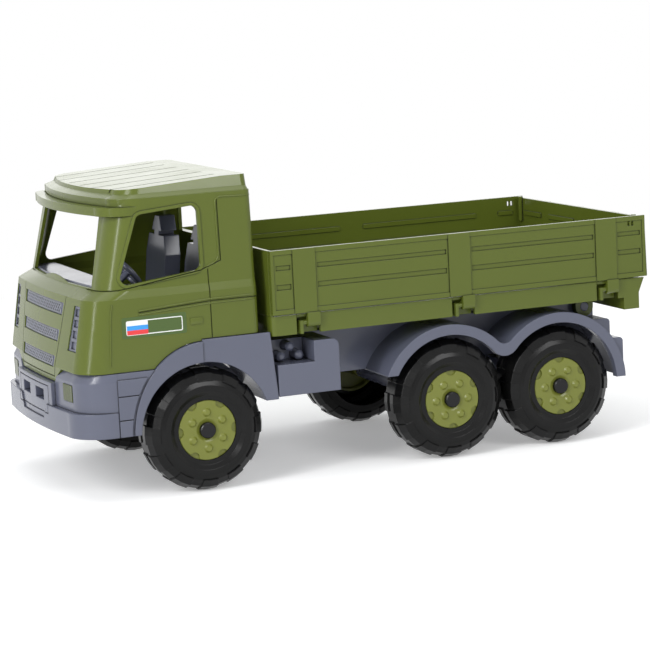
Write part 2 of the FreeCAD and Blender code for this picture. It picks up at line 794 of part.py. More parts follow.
def front_bumper():
    """The bumper moulding with both front fenders and their arches over the wheels."""
    rear_x = at(bumper_face_x - bumper_bulge - bumper_corner)
    faces = ((bumper_bottom_z, 0), (bumper_ridge_z, 0), (bumper_top_z, bumper_lean))
    outer = stack([plan_outline(z, at(bumper_face_x) - lean, bumper_bulge, fender_half_width, bumper_corner,
                                rear_x - bumper_wall - bumper_lean, bumper_wall / 2) for z, lean in faces])
    inner = stack([plan_outline(z, at(bumper_face_x - bumper_wall) - bumper_lean, bumper_bulge,
                                fender_half_width - bumper_wall, bumper_corner - bumper_wall,
                                rear_x - bumper_corner, bumper_wall / 2)
                   for z in (bumper_bottom_z - cut_overrun, bumper_top_z + cut_overrun)])
    lip = stack([plan_outline(z, at(bumper_face_x + lip_reach), bumper_bulge, fender_half_width + side_relief,
                              bumper_corner, rear_x, bumper_wall / 2)
                 for z in (bumper_bottom_z, lip_top_z)])
    over = lip_top_z + cut_overrun
    lip_step = end_prism([
        (-lip_step_outer_y, over), (-lip_step_outer_y, lip_top_z), (-lip_step_inner_y, centre_lip_top_z),
        (lip_step_inner_y, centre_lip_top_z), (lip_step_outer_y, lip_top_z), (lip_step_outer_y, over),
    ], rear_x, at(front_reach) + cut_overrun)
    lip = lip.cut(lip_step)
    centre = stack([plan_outline(z, at(bumper_face_x + centre_reach), bumper_bulge, fender_half_width,
                                 bumper_corner, rear_x, bumper_wall / 2)
                    for z in (bumper_bottom_z, centre_top_z)])
    centre = centre.common(box(rear_x, at(front_reach), -centre_half_width, centre_half_width,
                               bumper_bottom_z, centre_top_z))
    body = fuse([outer, lip, centre]).cut(inner)
    front, rear = at(front_reach) + cut_overrun, at(bumper_face_x - bumper_corner)
    above = bumper_top_z + cut_overrun
    notch = end_prism([
        (-notch_top_half_width, above), (-centre_half_width - notch_step_width, notch_step_z),
        (-centre_half_width, centre_top_z), (centre_half_width, centre_top_z),
        (centre_half_width + notch_step_width, notch_step_z), (notch_top_half_width, above),
    ], rear, front)
    tools = [notch]
    for sign in (-1, 1):
        tools.append(box(rear, front, sign * bumper_hole_inner_y, sign * bumper_hole_outer_y,
                         bumper_hole_z - bumper_hole_height / 2, bumper_hole_z + bumper_hole_height / 2))
        tools.append(lamp_block(sign, 0))
    skin = stack([plan_outline(z, at(bumper_face_x + centre_reach - line_depth), bumper_bulge,
                               fender_half_width, bumper_corner, rear_x, bumper_wall / 2)
                  for z in (bumper_bottom_z, bumper_top_z)])
    ring = box(rear, front, -frame_line_half_width, frame_line_half_width, frame_line_bottom_z,
               frame_line_top_z)
    ring = ring.cut(box(rear, front, line_width - frame_line_half_width, frame_line_half_width - line_width,
                        frame_line_bottom_z + line_width, frame_line_top_z - line_width))
    body = cut(body, tools + [ring.cut(skin)])
    fenders = []
    for sign in (-1, 1):
        face = fender_profile(fender_half_width - bumper_wall, fender_half_width, side_relief)
        arch = fender_profile(chassis_half_width, fender_half_width - bumper_wall, 0)
        arch = arch.common(rod(Vector(front_axle_x, chassis_half_width, tyre_radius), ALONG_Y,
                               fender_arch_radius + guard_sheet, fender_half_width))
        arch = arch.common(box(at(fender_rear_bottom_x), at(fender_arch_radius) + guard_sheet,
                               chassis_half_width, fender_half_width, fender_bottom_z, fender_top_z))
        guard = fuse([face, arch] + side_panel())
        fenders.append(guard if sign > 0 else mirrored(guard))
    return fuse([body] + fenders)


def lamp_block(sign, shrink):
    """The square lamp on one side of the bumper, cut to the bumper's own curve."""
    half_w, half_h = lamp_width / 2 - shrink, lamp_height / 2 - shrink
    block = box(at(bumper_face_x - bumper_corner), at(front_reach),
                sign * (lamp_y - half_w), sign * (lamp_y + half_w), lamp_z - half_h, lamp_z + half_h)
    outer = stack([plan_outline(z, at(bumper_face_x + lamp_proud), bumper_bulge,
                                fender_half_width + lamp_proud, bumper_corner, at(0), bumper_wall)
                   for z in (bumper_bottom_z, bumper_top_z)])
    inner = stack([plan_outline(z, at(bumper_face_x - lamp_depth), bumper_bulge,
                                fender_half_width - lamp_depth, bumper_corner - lamp_depth,
                                at(0) - bumper_corner, bumper_wall)
                   for z in (bumper_bottom_z - cut_overrun, bumper_top_z + cut_overrun)])
    return block.common(outer).cut(inner)


def side_box():
    """The left side box between fender and mudguard, with a recess that shows three small tanks."""
    body = box(at(box_rear_x), at(box_front_x), chassis_half_width, box_half_width, box_bottom_z, box_top_z)
    body = body.makeFillet(box_corner, [
        edge for edge in body.Edges
        if edge.BoundBox.XMax < at(box_rear_x) + cut_overrun
        and edge.BoundBox.ZMin > box_top_z - cut_overrun])
    recess = box(at(box_front_x) + cut_overrun, at(box_front_x) - box_recess_length,
                 box_half_width - box_recess_depth, box_half_width + cut_overrun,
                 box_top_z - box_recess_height, box_top_z + cut_overrun)
    body = body.cut(recess)
    tanks = []
    for share_x, share_z in tank_shares:
        start = Vector(at(box_front_x) - box_recess_length * share_x, box_half_width - box_recess_depth,
                       box_top_z - box_recess_height * (1 - share_z))
        tanks.append(rod(start, ALONG_Y, tank_radius, tank_length))
        tanks.append(Part.makeCone(tank_radius, tank_radius * tank_tip_share, tank_radius * tank_tip_share,
                                   start + ALONG_Y * tank_length, ALONG_Y))
    return fuse([body] + tanks)


def cab_lower(inset):
    """Solid of the lower cab, up to the ledge below the windscreen."""
    half = cab_half_width - inset
    rear, corner = at(cab_rear_x) + inset, cab_corner - inset
    low = cab_nose_z - (cut_overrun if inset else 0)
    return stack([
        plan_outline(low, at(cab_front_bottom_x) - inset, cab_front_bulge, half, corner, rear,
                     cab_rear_corner - inset),
        plan_outline(cab_front_knee_z, at(cab_front_bottom_x) - inset, cab_front_bulge, half, corner, rear,
                     cab_rear_corner - inset),
        plan_outline(cab_belt_z, at(cab_belt_front_x) - inset, cab_front_bulge, half, corner, rear,
                     cab_rear_corner - inset),
        plan_outline(ledge_z, at(screen_bottom_x) - inset, screen_bulge, cab_upper_half_width - inset,
                     corner, rear, cab_rear_corner - inset),
    ])


def cab_upper(inset):
    """Solid of the upper cab between the ledge and the roof."""
    rear, corner = at(cab_rear_x) + inset, cab_corner - inset
    return stack([
        plan_outline(ledge_z, at(screen_bottom_x) - inset, screen_bulge, cab_upper_half_width - inset,
                     corner, rear, cab_rear_corner - inset),
        plan_outline(roof_step_z, at(screen_top_x) - inset, screen_bulge, cab_roof_half_width - inset,
                     corner, rear, cab_rear_corner - inset),
    ])


def cab_visor():
    """The visor above the windscreen, which runs on round the cab as a low rim."""
    return stack([plan_outline(z, at(visor_x), visor_bulge, cab_roof_half_width, cab_corner,
                               at(cab_rear_x), cab_rear_corner)
                  for z in (visor_bottom_z, visor_step_z)])


def roof_crown(inset):
    """The roof above the visor; its top slopes up from the brow and then runs level."""
    rear = at(cab_rear_x) + inset
    rings = ((visor_step_z, roof_step_x, roof_step_half_width),
             (roof_step_z, roof_step_x, roof_step_half_width),
             (roof_brow_z, roof_brow_x, roof_brow_half_width),
             (roof_top_z, roof_front_x, roof_half_width))
    crown = stack([plan_outline(z, at(x) - inset, visor_bulge, half - inset, roof_corner - inset, rear,
                                cab_rear_corner - inset) for z, x, half in rings])
    above = side_prism([
        (at(roof_step_x), roof_front_z - inset), (at(roof_front_x), roof_front_z - inset),
        (at(roof_rise_x), roof_top_z - inset), (at(cab_rear_x) - cut_overrun, roof_top_z - inset),
        (at(cab_rear_x) - cut_overrun, roof_top_z + cut_overrun), (at(roof_step_x), roof_top_z + cut_overrun),
    ], -cab_half_width, cab_half_width)
    return crown.cut(above)


def roof_grooves():
    """Cutters for the grooves that run along the roof's slope."""
    ends = ((groove_front_x, 0), (groove_rear_x, 0))
    slope = (roof_top_z - roof_front_z) / (roof_front_x - roof_rise_x)
    line = [(at(x), roof_front_z + (roof_front_x - x) * slope - groove_depth) for x, _ in ends]
    top = [(x, roof_top_z + cut_overrun) for x, _ in reversed(line)]
    grooves = []
    for share in groove_shares:
        y = roof_half_width * share
        grooves += both_sides(side_prism(line + top, y - groove_width / 2, y + groove_width / 2))
    return grooves


def grille_openings(shrink):
    """Blocks that pass through the cab's front where its slots and vents are."""
    rear, front = at(cab_belt_front_x - cab_corner), at(front_reach)
    first_top = slot_zs[0][0]
    blocks = []
    for slot_top, slot_bottom in slot_zs:
        top, bottom = slot_top - shrink, slot_bottom + shrink
        top_half = slot_half_width - (first_top - top) * slot_taper - shrink
        bottom_half = slot_half_width - (first_top - bottom) * slot_taper - shrink
        blocks.append(end_prism([(-bottom_half, bottom), (bottom_half, bottom), (top_half, top),
                                 (-top_half, top)], rear, front))
    top, bottom = vent_top_z - shrink, vent_bottom_z + shrink
    outer = vent_outer_y - shrink
    blocks += both_sides(end_prism([(vent_inner_bottom_y + shrink, bottom), (outer, bottom), (outer, top),
                                    (vent_inner_top_y + shrink, top)], rear, front))
    return blocks


def grown(points, grow, corner, y0, y1):
    """An X-Z outline drawn out along Y, grown all round and with its corners rounded."""
    ring = [Vector(x, y0, z) for x, z in points]
    face = Part.Face(Part.makePolygon(ring + ring[:1]))
    if grow:
        face = Part.Face(face.makeOffset2D(grow, join=2).OuterWire)
    block = face.extrude(ALONG_Y * (y1 - y0))
    edges = [edge for edge in block.Edges if edge.BoundBox.YLength > (y1 - y0) / 2]
    return block.makeFillet(corner + grow, edges)


def line_band(points, y0, y1):
    """Cutters for a moulded line through (x, z) points, drawn out along Y."""
    half = line_width / 2
    bands = []
    for (x0, z0), (x1, z1) in zip(points, points[1:]):
        length = math.hypot(x1 - x0, z1 - z0)
        along_x, along_z = (x1 - x0) / length * half, (z1 - z0) / length * half
        x0, z0, x1, z1 = x0 - along_x, z0 - along_z, x1 + along_x, z1 + along_z
        bands.append(side_prism([(x0 - along_z, z0 + along_x), (x1 - along_z, z1 + along_x),
                                 (x1 + along_z, z1 - along_x), (x0 + along_z, z0 - along_x)], y0, y1))
    return bands


def cab_lines(span):
    """Cutters for the door lines and the crease on both sides and for the seams of the front."""
    door = [(at(door_rear_x), visor_step_z), (at(door_rear_x), window_bottom_rear_z + window_corner),
            (at(window_rear_x), belt_line_rear_z), (at(window_front_x_bottom), belt_line_front_z),
            (at(belt_line_front_x), ledge_z)]
    low_door = [(at(door_low_rear_x), belt_line_rear_z), (at(door_low_rear_x), cab_rear_bottom_z)]
    crease = [(at(crease_front_x), crease_front_z), (at(crease_middle_x), crease_rear_z),
              (at(cab_rear_x), crease_rear_z)]
    bands = []
    for points in (door, low_door, crease):
        bands += line_band(points, -span, span)
    rear, front = at(cab_belt_front_x - cab_corner), at(front_reach)
    first_top = slot_zs[0][0]
    high, low = cab_belt_z, nose_line_z
    top_half = slot_half_width + front_seam_gap - (first_top - high) * slot_taper
    low_half = slot_half_width + front_seam_gap - (first_top - low) * slot_taper
    bands += both_sides(end_prism([(top_half, high), (top_half + line_width, high),
                                   (low_half + line_width, low), (low_half, low)], rear, front))
    line_end = low_half + line_width
    bands.append(box(rear, front, -line_end, line_end, nose_line_z, nose_line_z + line_width))
    solid = fuse([cab_lower(line_depth), cab_upper(line_depth)])
    return [band.cut(solid) for band in bands]


def cab_shell():
    """The hollow cab with its windows, grille slots, roof grooves and wheel-arch edge."""
    outer = fuse([cab_lower(0), cab_upper(0), cab_visor(), roof_crown(0)])
    inner = fuse([cab_lower(cab_wall), cab_upper(cab_wall), roof_crown(cab_wall)])
    span = cab_half_width + cut_overrun
    glass = [
        (at(window_front_x_bottom), window_bottom_front_z), (at(window_front_x_top), window_top_front_z),
        (at(window_rear_x), window_top_rear_z), (at(window_rear_x), window_bottom_rear_z),
    ]
    window_inner_y = cab_upper_half_width - cab_corner
    bead = grown(glass, bead_width, window_corner, window_inner_y, span).common(cab_upper(-bead_proud))
    body = fuse([outer] + both_sides(bead)).cut(inner)
    under_edge = side_prism([
        (at(front_reach), cab_nose_z - cut_overrun),
        (at(front_reach), cab_bottom_z),
        (at(0), cab_bottom_z),
        (at(0), cab_rear_bottom_z),
        (at(cab_rear_x) - cut_overrun, cab_rear_bottom_z),
        (at(cab_rear_x) - cut_overrun, cab_nose_z - cut_overrun),
    ], -span, span)
    nose_top = notch_top_half_width - nose_gap
    nose = end_prism([
        (-nose_top, cab_bottom_z), (-cab_nose_half_width - notch_step_width, notch_step_z),
        (-cab_nose_half_width, cab_nose_z), (cab_nose_half_width, cab_nose_z),
        (cab_nose_half_width + notch_step_width, notch_step_z), (nose_top, cab_bottom_z),
    ], at(cab_front_bottom_x) - cab_nose_depth, at(front_reach))
    screen = end_prism([
        (-screen_half_bottom, screen_sill_z), (screen_half_bottom, screen_sill_z),
        (screen_half_top, visor_bottom_z), (-screen_half_top, visor_bottom_z),
    ], at(cab_half_width / 2), at(visor_x))
    tools = [under_edge.cut(nose), arch_ellipse(fender_gap, -span, span), screen]
    tools += both_sides(grown(glass, 0, window_corner, window_inner_y, span))
    tools.append(box(at(cab_rear_x) - cut_overrun, at(cab_rear_x) + cab_wall + cut_overrun,
                     -rear_window_half_width, rear_window_half_width,
                     rear_window_bottom_z, rear_window_top_z))
    return cut(body, tools + roof_grooves() + grille_openings(0) + cab_lines(span))


def vent_pockets():
    """Blocks for the four pockets in the left vent, from its foot to its top."""
    rear, front = at(cab_belt_front_x - cab_corner), at(front_reach)
    pockets = []
    for share in vent_pocket_shares:
        z = vent_bottom_z + (vent_top_z - vent_bottom_z) * share
        inner = vent_inner_bottom_y + (vent_inner_top_y - vent_inner_bottom_y) * share
        y = (inner + vent_outer_y) / 2
        pockets.append(box(rear, front, y - vent_pocket_half_width, y + vent_pocket_half_width,
                           z - vent_pocket_height / 2, z + vent_pocket_height / 2))
    return pockets


def grille_inserts():
    """The dark plates that fill the slots and vents, sunk a little behind the cab's face."""
    sheet = cab_lower(insert_sink).cut(cab_lower(insert_sink + insert_thickness))
    skin = cab_lower(insert_sink + vent_pocket_depth)
    pockets = [tool for pocket in vent_pockets() for tool in both_sides(pocket.cut(skin))]
    plates = [sheet.common(block) for block in grille_openings(insert_clearance)]
    return [cut(plate, pockets) for plate in plates]


def cab_floor():
    """The floor tray that carries the seats, with two ribs that stand on the chassis."""
    tray = box(at(cab_rear_x) + cab_wall, at(floor_front_x), -floor_half_width, floor_half_width,
               floor_z, floor_z + floor_thickness)
    rib = box(at(floor_rib_rear_x), at(floor_rib_front_x), floor_rib_y, floor_rib_y + floor_thickness,
              chassis_top_z, floor_z)
    console = box(at(seat_rear_x), at(console_front_x), -console_half_width, console_half_width,
                  floor_z, console_top_z)
    return fuse([tray, console] + both_sides(rib))


def dashboard():
    """The hollow dashboard across the cab below the windscreen."""
    room = fuse([cab_lower(cab_wall + dash_gap), cab_upper(cab_wall + dash_gap)])
    block = box(at(dash_rear_x), at(front_reach), -dash_half_width, dash_half_width,
                dash_bottom_z, dash_top_z)
    hollow = box(at(dash_rear_x) + dash_wall, at(front_reach), -dash_half_width + dash_wall,
                 dash_half_width - dash_wall, dash_bottom_z - cut_overrun, dash_top_z - dash_wall)
    return room.common(block).cut(hollow)


def steering_wheel():
    """The steering wheel, its spoke and the column that joins it to the dashboard."""
    centre = Vector(at(wheel_centre_x), seat_y, wheel_centre_z)
    tilt = math.radians(steering_tilt_degrees)
    direction = Vector(math.cos(tilt), 0, -math.sin(tilt))
    length = (dash_rear_x - wheel_centre_x) / math.cos(tilt) - column_radius * math.tan(tilt)
    ring = Part.makeTorus(steering_radius, steering_tube, centre, direction)
    column = rod(centre, direction, column_radius, length)
    spoke = rod(centre - ALONG_Y * steering_radius, ALONG_Y, steering_tube / 2, steering_radius * 2)
    return fuse([ring, column, spoke])


def seat():
    """The left seat: a cushion, a leaning back with sloped shoulders and a headrest on its post."""
    half, low_z = seat_width / 2, floor_z + floor_thickness
    cushion = side_prism([
        (at(seat_rear_x), low_z), (at(seat_front_x), low_z), (at(seat_front_x), seat_base_z - seat_cushion_lip),
        (at(seat_front_x) - seat_cushion_lip, seat_base_z), (at(seat_rear_x), seat_base_z),
    ], seat_y - half, seat_y + half)
    shoulder, rest, post = seat_shoulder_width / 2, headrest_width / 2, headrest_post_width / 2
    rest_z = seat_top_z + headrest_gap
    front_view = fuse([end_prism([(seat_y + side * y, z) for side, y, z in outline],
                                 at(seat_rear_x) - seat_lean, at(seat_front_x))
                       for outline in (
        ((-1, half, low_z), (1, half, low_z), (1, half, seat_shoulder_z), (1, shoulder, seat_top_z),
         (-1, shoulder, seat_top_z), (-1, half, seat_shoulder_z)),
        ((-1, post, seat_base_z), (1, post, seat_base_z), (1, post, headrest_top_z),
         (-1, post, headrest_top_z)),
        ((-1, rest, rest_z), (1, rest, rest_z), (1, post, headrest_top_z), (-1, post, headrest_top_z)),
    )])
    side_view = side_prism([
        (at(seat_rear_x), low_z), (at(seat_rear_x) + seat_back_thickness, low_z),
        (at(seat_rear_x) + seat_back_thickness, seat_base_z),
        (at(seat_rear_x) + seat_back_thickness - seat_lean, headrest_top_z),
        (at(seat_rear_x) - seat_lean, headrest_top_z), (at(seat_rear_x), seat_base_z),
    ], seat_y - half, seat_y + half)
    return fuse([cushion, front_view.common(side_view)])


def hinge_recesses(sign):
    """Cut-outs in one side skirt, and in the floor's edge above it, one for each hinge."""
    tools = []
    outside = sign * (bed_half_width + cut_overrun)
    inside = sign * (bed_half_width - hinge_recess_depth)
    edge = sign * (hinge_axis_y - hinge_edge_gap)
    underside = bed_floor_top_z - bed_floor
    for x in hinge_front_xs:
        rear = at(x) - hinge_recess_length
        tools.append(box(at(x), rear, inside, outside, skirt_bottom_z - cut_overrun, underside))
        tools.append(box(at(x), rear, edge, outside, underside, bed_edge_z + cut_overrun))
    return tools


def bed_frame():
    """The bed's floor and skirt, the rear beam, the hinge arms and pins and the pivot lugs."""
    front, rear = at(bed_front_x), at(bed_rear_x)
    underside = bed_floor_top_z - bed_floor
    floor = box(front, rear, -bed_half_width, bed_half_width, underside, bed_edge_z)
    panel_half = bed_half_width - floor_panel_margin
    panel = box(front - floor_panel_margin, rear + floor_panel_margin, -panel_half, panel_half, underside,
                bed_floor_top_z)
    inner = bed_half_width - skirt_wall
    skirt = box(front, at(beam_front_x), -bed_half_width, bed_half_width, skirt_bottom_z, bed_edge_z)
    skirt = skirt.cut(box(front - skirt_wall, at(beam_front_x) - cut_overrun, -inner, inner,
                          skirt_bottom_z - cut_overrun, underside))
    ribs = [box(at(x), at(x) - rib_thickness, -inner, inner, rib_bottom_z, underside) for x in rib_xs]
    beam_outline = [
        (at(beam_front_x), bed_edge_z), (at(beam_nose_x) + cut_overrun, bed_edge_z),
        (at(beam_rear_x), beam_nose_z), (at(beam_rear_x), beam_bottom_z), (at(beam_front_x), beam_bottom_z),
    ]
    beam = box(at(beam_front_x), at(beam_front_x) - beam_wall, -inner, inner, beam_bottom_z, bed_edge_z)
    beam_back = box(at(beam_rear_x), at(beam_rear_x) + beam_wall, -inner, inner, beam_bottom_z, bed_edge_z)
    plates = both_sides(side_prism(beam_outline, bed_half_width - beam_plate, bed_half_width))
    bearer = box(at(bearer_front_x), at(bearer_rear_x), bearer_y, bearer_y + bearer_width,
                 bearer_bottom_z, underside)
    body = fuse([floor, panel, skirt, beam, beam_back] + ribs + plates + both_sides(bearer))
    corners = [edge for edge in body.Edges if edge.BoundBox.XMin > front - cut_overrun
               and edge.BoundBox.ZLength > cut_overrun
               and max(abs(edge.BoundBox.YMin), abs(edge.BoundBox.YMax)) > bed_half_width - cut_overrun / 2]
    body = body.makeFillet(bed_corner, corners)
    walls = []
    for sign in (-1, 1):
        body = cut(body, hinge_recesses(sign))
        wall_y = sign * (bed_half_width - hinge_recess_depth)
        for x in hinge_front_xs:
            walls.append(box(at(x), at(x) - hinge_recess_length, wall_y, wall_y - sign * skirt_wall,
                             skirt_bottom_z, underside))
            arm_front = at(x) - hinge_arm_offset
            walls.append(box(arm_front, arm_front - hinge_arm, wall_y,
                             sign * (hinge_axis_y + hinge_pin_radius), skirt_bottom_z,
                             hinge_z + hinge_pin_radius))
            walls.append(rod(Vector(arm_front, sign * hinge_axis_y, hinge_z), -ALONG_X,
                             hinge_pin_radius, hinge_pin_length))
    for y in tail_hinge_ys:
        centre = Vector(at(tailgate_hinge_x), y, hinge_z)
        walls.append(box(at(beam_rear_x) + beam_wall, at(tailgate_hinge_x) - hinge_pin_radius, y,
                         y - hinge_arm, hinge_z - hinge_pin_radius, hinge_z + hinge_pin_radius))
        walls.append(rod(centre - ALONG_Y * hinge_arm, ALONG_Y, hinge_pin_radius, hinge_pin_length))
    for sign in (-1, 1):
        lug_y = sign * (chassis_half_width + lug_gap)
        far_y = lug_y + sign * lug_width
        lug = rod(Vector(at(pivot_x), min(lug_y, far_y), pivot_z), ALONG_Y, lug_radius, lug_width)
        web = box(at(pivot_x) - lug_radius, at(pivot_x) + lug_radius, lug_y, far_y, pivot_z, underside)
        hole = rod(Vector(at(pivot_x), -bed_half_width, pivot_z), ALONG_Y, pivot_pin_radius + pivot_fit,
                   bed_half_width * 2)
        walls.append(fuse([lug, web]).cut(hole))
    return fuse([body] + walls)


def headboard():
    """The fixed board at the front of the bed."""
    front = at(bed_front_x)
    half = board_inner_y - headboard_gap
    return box(front, front - headboard_thickness, -half, half, bed_edge_z, headboard_top_z)


def channels(starts, ends, face, sign, proud):
    """Blocks along a board for its pressed channels, each between a start and an end place."""
    blocks = []
    for start, end in zip(starts, ends):
        for low, high in channel_zs:
            blocks.append(((start, face, low), (end, face + sign * proud, high)))
    return blocks


def side_board():
    """The left drop side: a pressed board with rims, posts, channels and three hinge knuckles."""
    front, rear = at(board_front_x), at(board_rear_x)
    outer = board_inner_y + board_thickness
    panel = side_prism([(front, board_bottom_z), (front, board_top_z),
                        (rear + board_end_slant, board_top_z), (rear, board_bottom_z)], board_inner_y, outer)
    starts = [front - end_rim_width] + [at(x) - post_width for x in post_front_xs]
    ends = [at(x) for x in post_front_xs] + [rear + board_end_slant + end_rim_width]
    starts, ends = [x - channel_end_gap for x in starts], [x + channel_end_gap for x in ends]
    sunk = [box(a[0], b[0], a[1], b[1] + cut_overrun, a[2], b[2])
            for a, b in channels(starts, ends, outer - channel_depth, 1, channel_depth)]
    raised = [box(a[0], b[0], a[1] + ridge_proud, b[1], a[2], b[2])
              for a, b in channels([starts[0] - headboard_thickness - headboard_gap] + starts[1:],
                                   ends[:-1] + [ends[-1] + tailgate_thickness + latch_radius * 2],
                                   board_inner_y, -1, ridge_proud)]
    pieces = [panel.cut(sunk[0].multiFuse(sunk[1:]))] + raised
    for x in post_front_xs:
        pieces.append(box(at(x), at(x) - post_width, board_inner_y, outer + post_proud,
                          board_bottom_z, board_top_z))
    for z in (board_bottom_z, board_top_z - rim_height):
        pieces.append(box(front, rear + board_end_slant, board_inner_y, outer + post_proud / 2, z,
                          z + rim_height))
    for x in (front, rear + board_end_slant + end_rim_width):
        pieces.append(box(x, x - end_rim_width, board_inner_y, outer + post_proud / 2, board_bottom_z,
                          board_top_z))
    hole_radius = hinge_pin_radius + hinge_fit
    holes = []
    for x in hinge_front_xs:
        start_x = at(x) - knuckle_offset
        pieces.append(rod(Vector(start_x, hinge_axis_y, hinge_z), -ALONG_X, knuckle_radius, knuckle_length))
        pieces.append(box(start_x, start_x - knuckle_length, hinge_axis_y, hinge_axis_y + knuckle_radius,
                          hinge_z, board_bottom_z))
        holes.append(rod(Vector(start_x + cut_overrun, hinge_axis_y, hinge_z), -ALONG_X, hole_radius,
                         knuckle_length + cut_overrun * 2))
    for x in clip_slot_xs:
        holes.append(box(at(x), at(x) - clip_slot_width, board_inner_y - cut_overrun,
                         outer + post_proud + cut_overrun, clip_slot_z - clip_slot_height / 2,
                         clip_slot_z + clip_slot_height / 2))
    return cut(fuse(pieces), holes)


def tailgate():
    """The tailgate between the drop sides, with channels, posts, latch bars and hinge knuckles."""
    half = board_inner_y - tailgate_side_gap
    inner_x = at(tailgate_x) + tailgate_thickness / 2
    outer_x = inner_x - tailgate_thickness
    knuckle_ys = [y + knuckle_offset - hinge_arm_offset - hinge_arm for y in tail_hinge_ys]
    starts = [-half + end_rim_width] + [y + knuckle_length for y in knuckle_ys]
    ends = knuckle_ys + [half - end_rim_width]
    starts, ends = [y + channel_end_gap for y in starts], [y - channel_end_gap for y in ends]
    sunk = [box(a[1], b[1] - cut_overrun, a[0], b[0], a[2], b[2])
            for a, b in channels(starts, ends, outer_x + channel_depth, -1, channel_depth)]
    raised = [box(a[1] - ridge_proud, b[1], max(a[0], latch_radius * 2 - latch_y),
                  min(b[0], latch_y - latch_radius * 2), a[2], b[2])
              for a, b in channels(starts, ends, inner_x, 1, ridge_proud)]
    panel = box(inner_x, outer_x, -half, half, board_bottom_z, tailgate_top_z)
    pieces = [panel.cut(sunk[0].multiFuse(sunk[1:]))] + raised
    for sign in (-1, 1):
        pieces.append(rod(Vector(inner_x + latch_radius / 2, sign * latch_y, latch_bottom_z), ALONG_Z,
                          latch_radius, latch_top_z - latch_bottom_z))
    holes = []
    for start_y in knuckle_ys:
        start = Vector(at(tailgate_hinge_x), start_y, hinge_z)
        pieces.append(rod(start, ALONG_Y, tail_knuckle_radius, knuckle_length))
        pieces.append(box(at(tailgate_hinge_x), at(tailgate_hinge_x) - tail_knuckle_radius, start_y,
                          start_y + knuckle_length, hinge_z, board_bottom_z + rim_height))
        pieces.append(box(inner_x, outer_x - post_proud, start_y, start_y + knuckle_length, board_bottom_z,
                          tailgate_top_z))
        holes.append(rod(start - ALONG_Y * cut_overrun, ALONG_Y, hinge_pin_radius + hinge_fit,
                         knuckle_length + cut_overrun * 2))
    return cut(fuse(pieces), holes)


def build():
    """Make every node and write it."""
    any_tyre, any_hub, any_cap = tyre(), hub(), cap()
    for place, x in axles.items():
        export("axle_" + place, [axle(x)])
        seat_point = Vector(x, 0, tyre_radius)
        tyre_solid, cap_solid = any_tyre.translated(seat_point), any_cap.translated(seat_point)
        hub_solid = any_hub.copy().rotate(Vector(0, 0, 0), ALONG_Y, wheel_turn_degrees[place])
        hub_solid = hub_solid.translated(seat_point)
        export("tyre_" + place + "_left", [tyre_solid])
        export("tyre_" + place + "_right", [mirrored(tyre_solid)])
        export("hub_" + place + "_left", [hub_solid])
        export("hub_" + place + "_right", [mirrored(hub_solid)])
        export("hub_cap_" + place + "_left", [cap_solid])
        export("hub_cap_" + place + "_right", [mirrored(cap_solid)])
    export("chassis_frame", [chassis_frame()])
    export("mudguard_left", [mudguard()])
    export("mudguard_right", [mirrored(mudguard())])
    export("front_bumper", [front_bumper()])
    export("headlamps", [lamp_block(sign, lamp_fit) for sign in (-1, 1)])
    export("side_box_left", [side_box()])
    export("side_box_right", [mirrored(side_box())])
    export("cab_shell", [cab_shell()])
    export("grille_inserts", grille_inserts())
    export("cab_floor", [cab_floor()])
    export("dashboard", [dashboard()])
    export("steering_wheel", [steering_wheel()])
    export("seats", both_sides(seat()))
    export("bed_frame", [bed_frame()])
    export("headboard", [headboard()])
    export("side_board_left", [side_board()])
    export("side_board_right", [mirrored(side_board())])
    export("tailgate", [tailgate()])


build()
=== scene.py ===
"""Looks for a moulded plastic toy: a six-wheel military flatbed lorry.

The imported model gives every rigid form. This script dresses it in moulded plastics, adds the pieces
that are thinner than the mouldings (labels, grille mesh, door pulls, cab beads) and sets up a plain
studio.
Lengths are in metres in the model's own frame: +X forward, +Y the toy's left, +Z up. The new pieces
keep their sizes in millimetres, with X counted from the front axle, and their angles in degrees.
"""

import logging
import math
from dataclasses import dataclass, field
from enum import Enum
from typing import Callable, Iterable, Optional

import bmesh
import bpy
from mathutils import Matrix, Vector


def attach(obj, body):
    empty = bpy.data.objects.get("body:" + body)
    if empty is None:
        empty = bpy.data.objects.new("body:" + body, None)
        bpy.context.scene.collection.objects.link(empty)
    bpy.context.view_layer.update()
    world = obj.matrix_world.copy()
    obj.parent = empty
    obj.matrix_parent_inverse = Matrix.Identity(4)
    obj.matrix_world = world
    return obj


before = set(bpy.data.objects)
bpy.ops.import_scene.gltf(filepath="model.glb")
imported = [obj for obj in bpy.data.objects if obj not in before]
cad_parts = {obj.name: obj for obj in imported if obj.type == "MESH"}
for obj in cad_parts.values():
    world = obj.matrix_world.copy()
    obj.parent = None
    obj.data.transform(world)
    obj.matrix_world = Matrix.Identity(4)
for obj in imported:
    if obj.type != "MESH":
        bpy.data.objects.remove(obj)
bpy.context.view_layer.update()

LOG = logging.getLogger("toy_lorry")
logging.basicConfig(level=logging.INFO, format="%(name)s: %(message)s")

MM = 0.001
FRONT_AXLE_X = 127.9 * MM
CAB_SIDE_Y = 96.5 * MM
ROOF_EDGE_Z = 212.5 * MM
ABOVE_ALL = 1.0
FACING_SHARE = 0.9
NEAR = 0.01 * MM
WHITE = (1, 1, 1, 1)
QUARTER_TURN = math.radians(90)
HALF_TURN = math.radians(180)
MIX_VECTOR_A, MIX_VECTOR_B, MIX_VECTOR_RESULT = 4, 5, 1

Triple = tuple[float, float, float]
Socket = bpy.types.NodeSocket


class Side(Enum):
    """Which flank of the toy a piece belongs to."""

    LEFT = 1
    RIGHT = -1


class Slot(Enum):
    """The record's names of two material slots."""

    OLIVE = "olive_plastic"
    BLUE_GREY = "blue_grey_plastic"


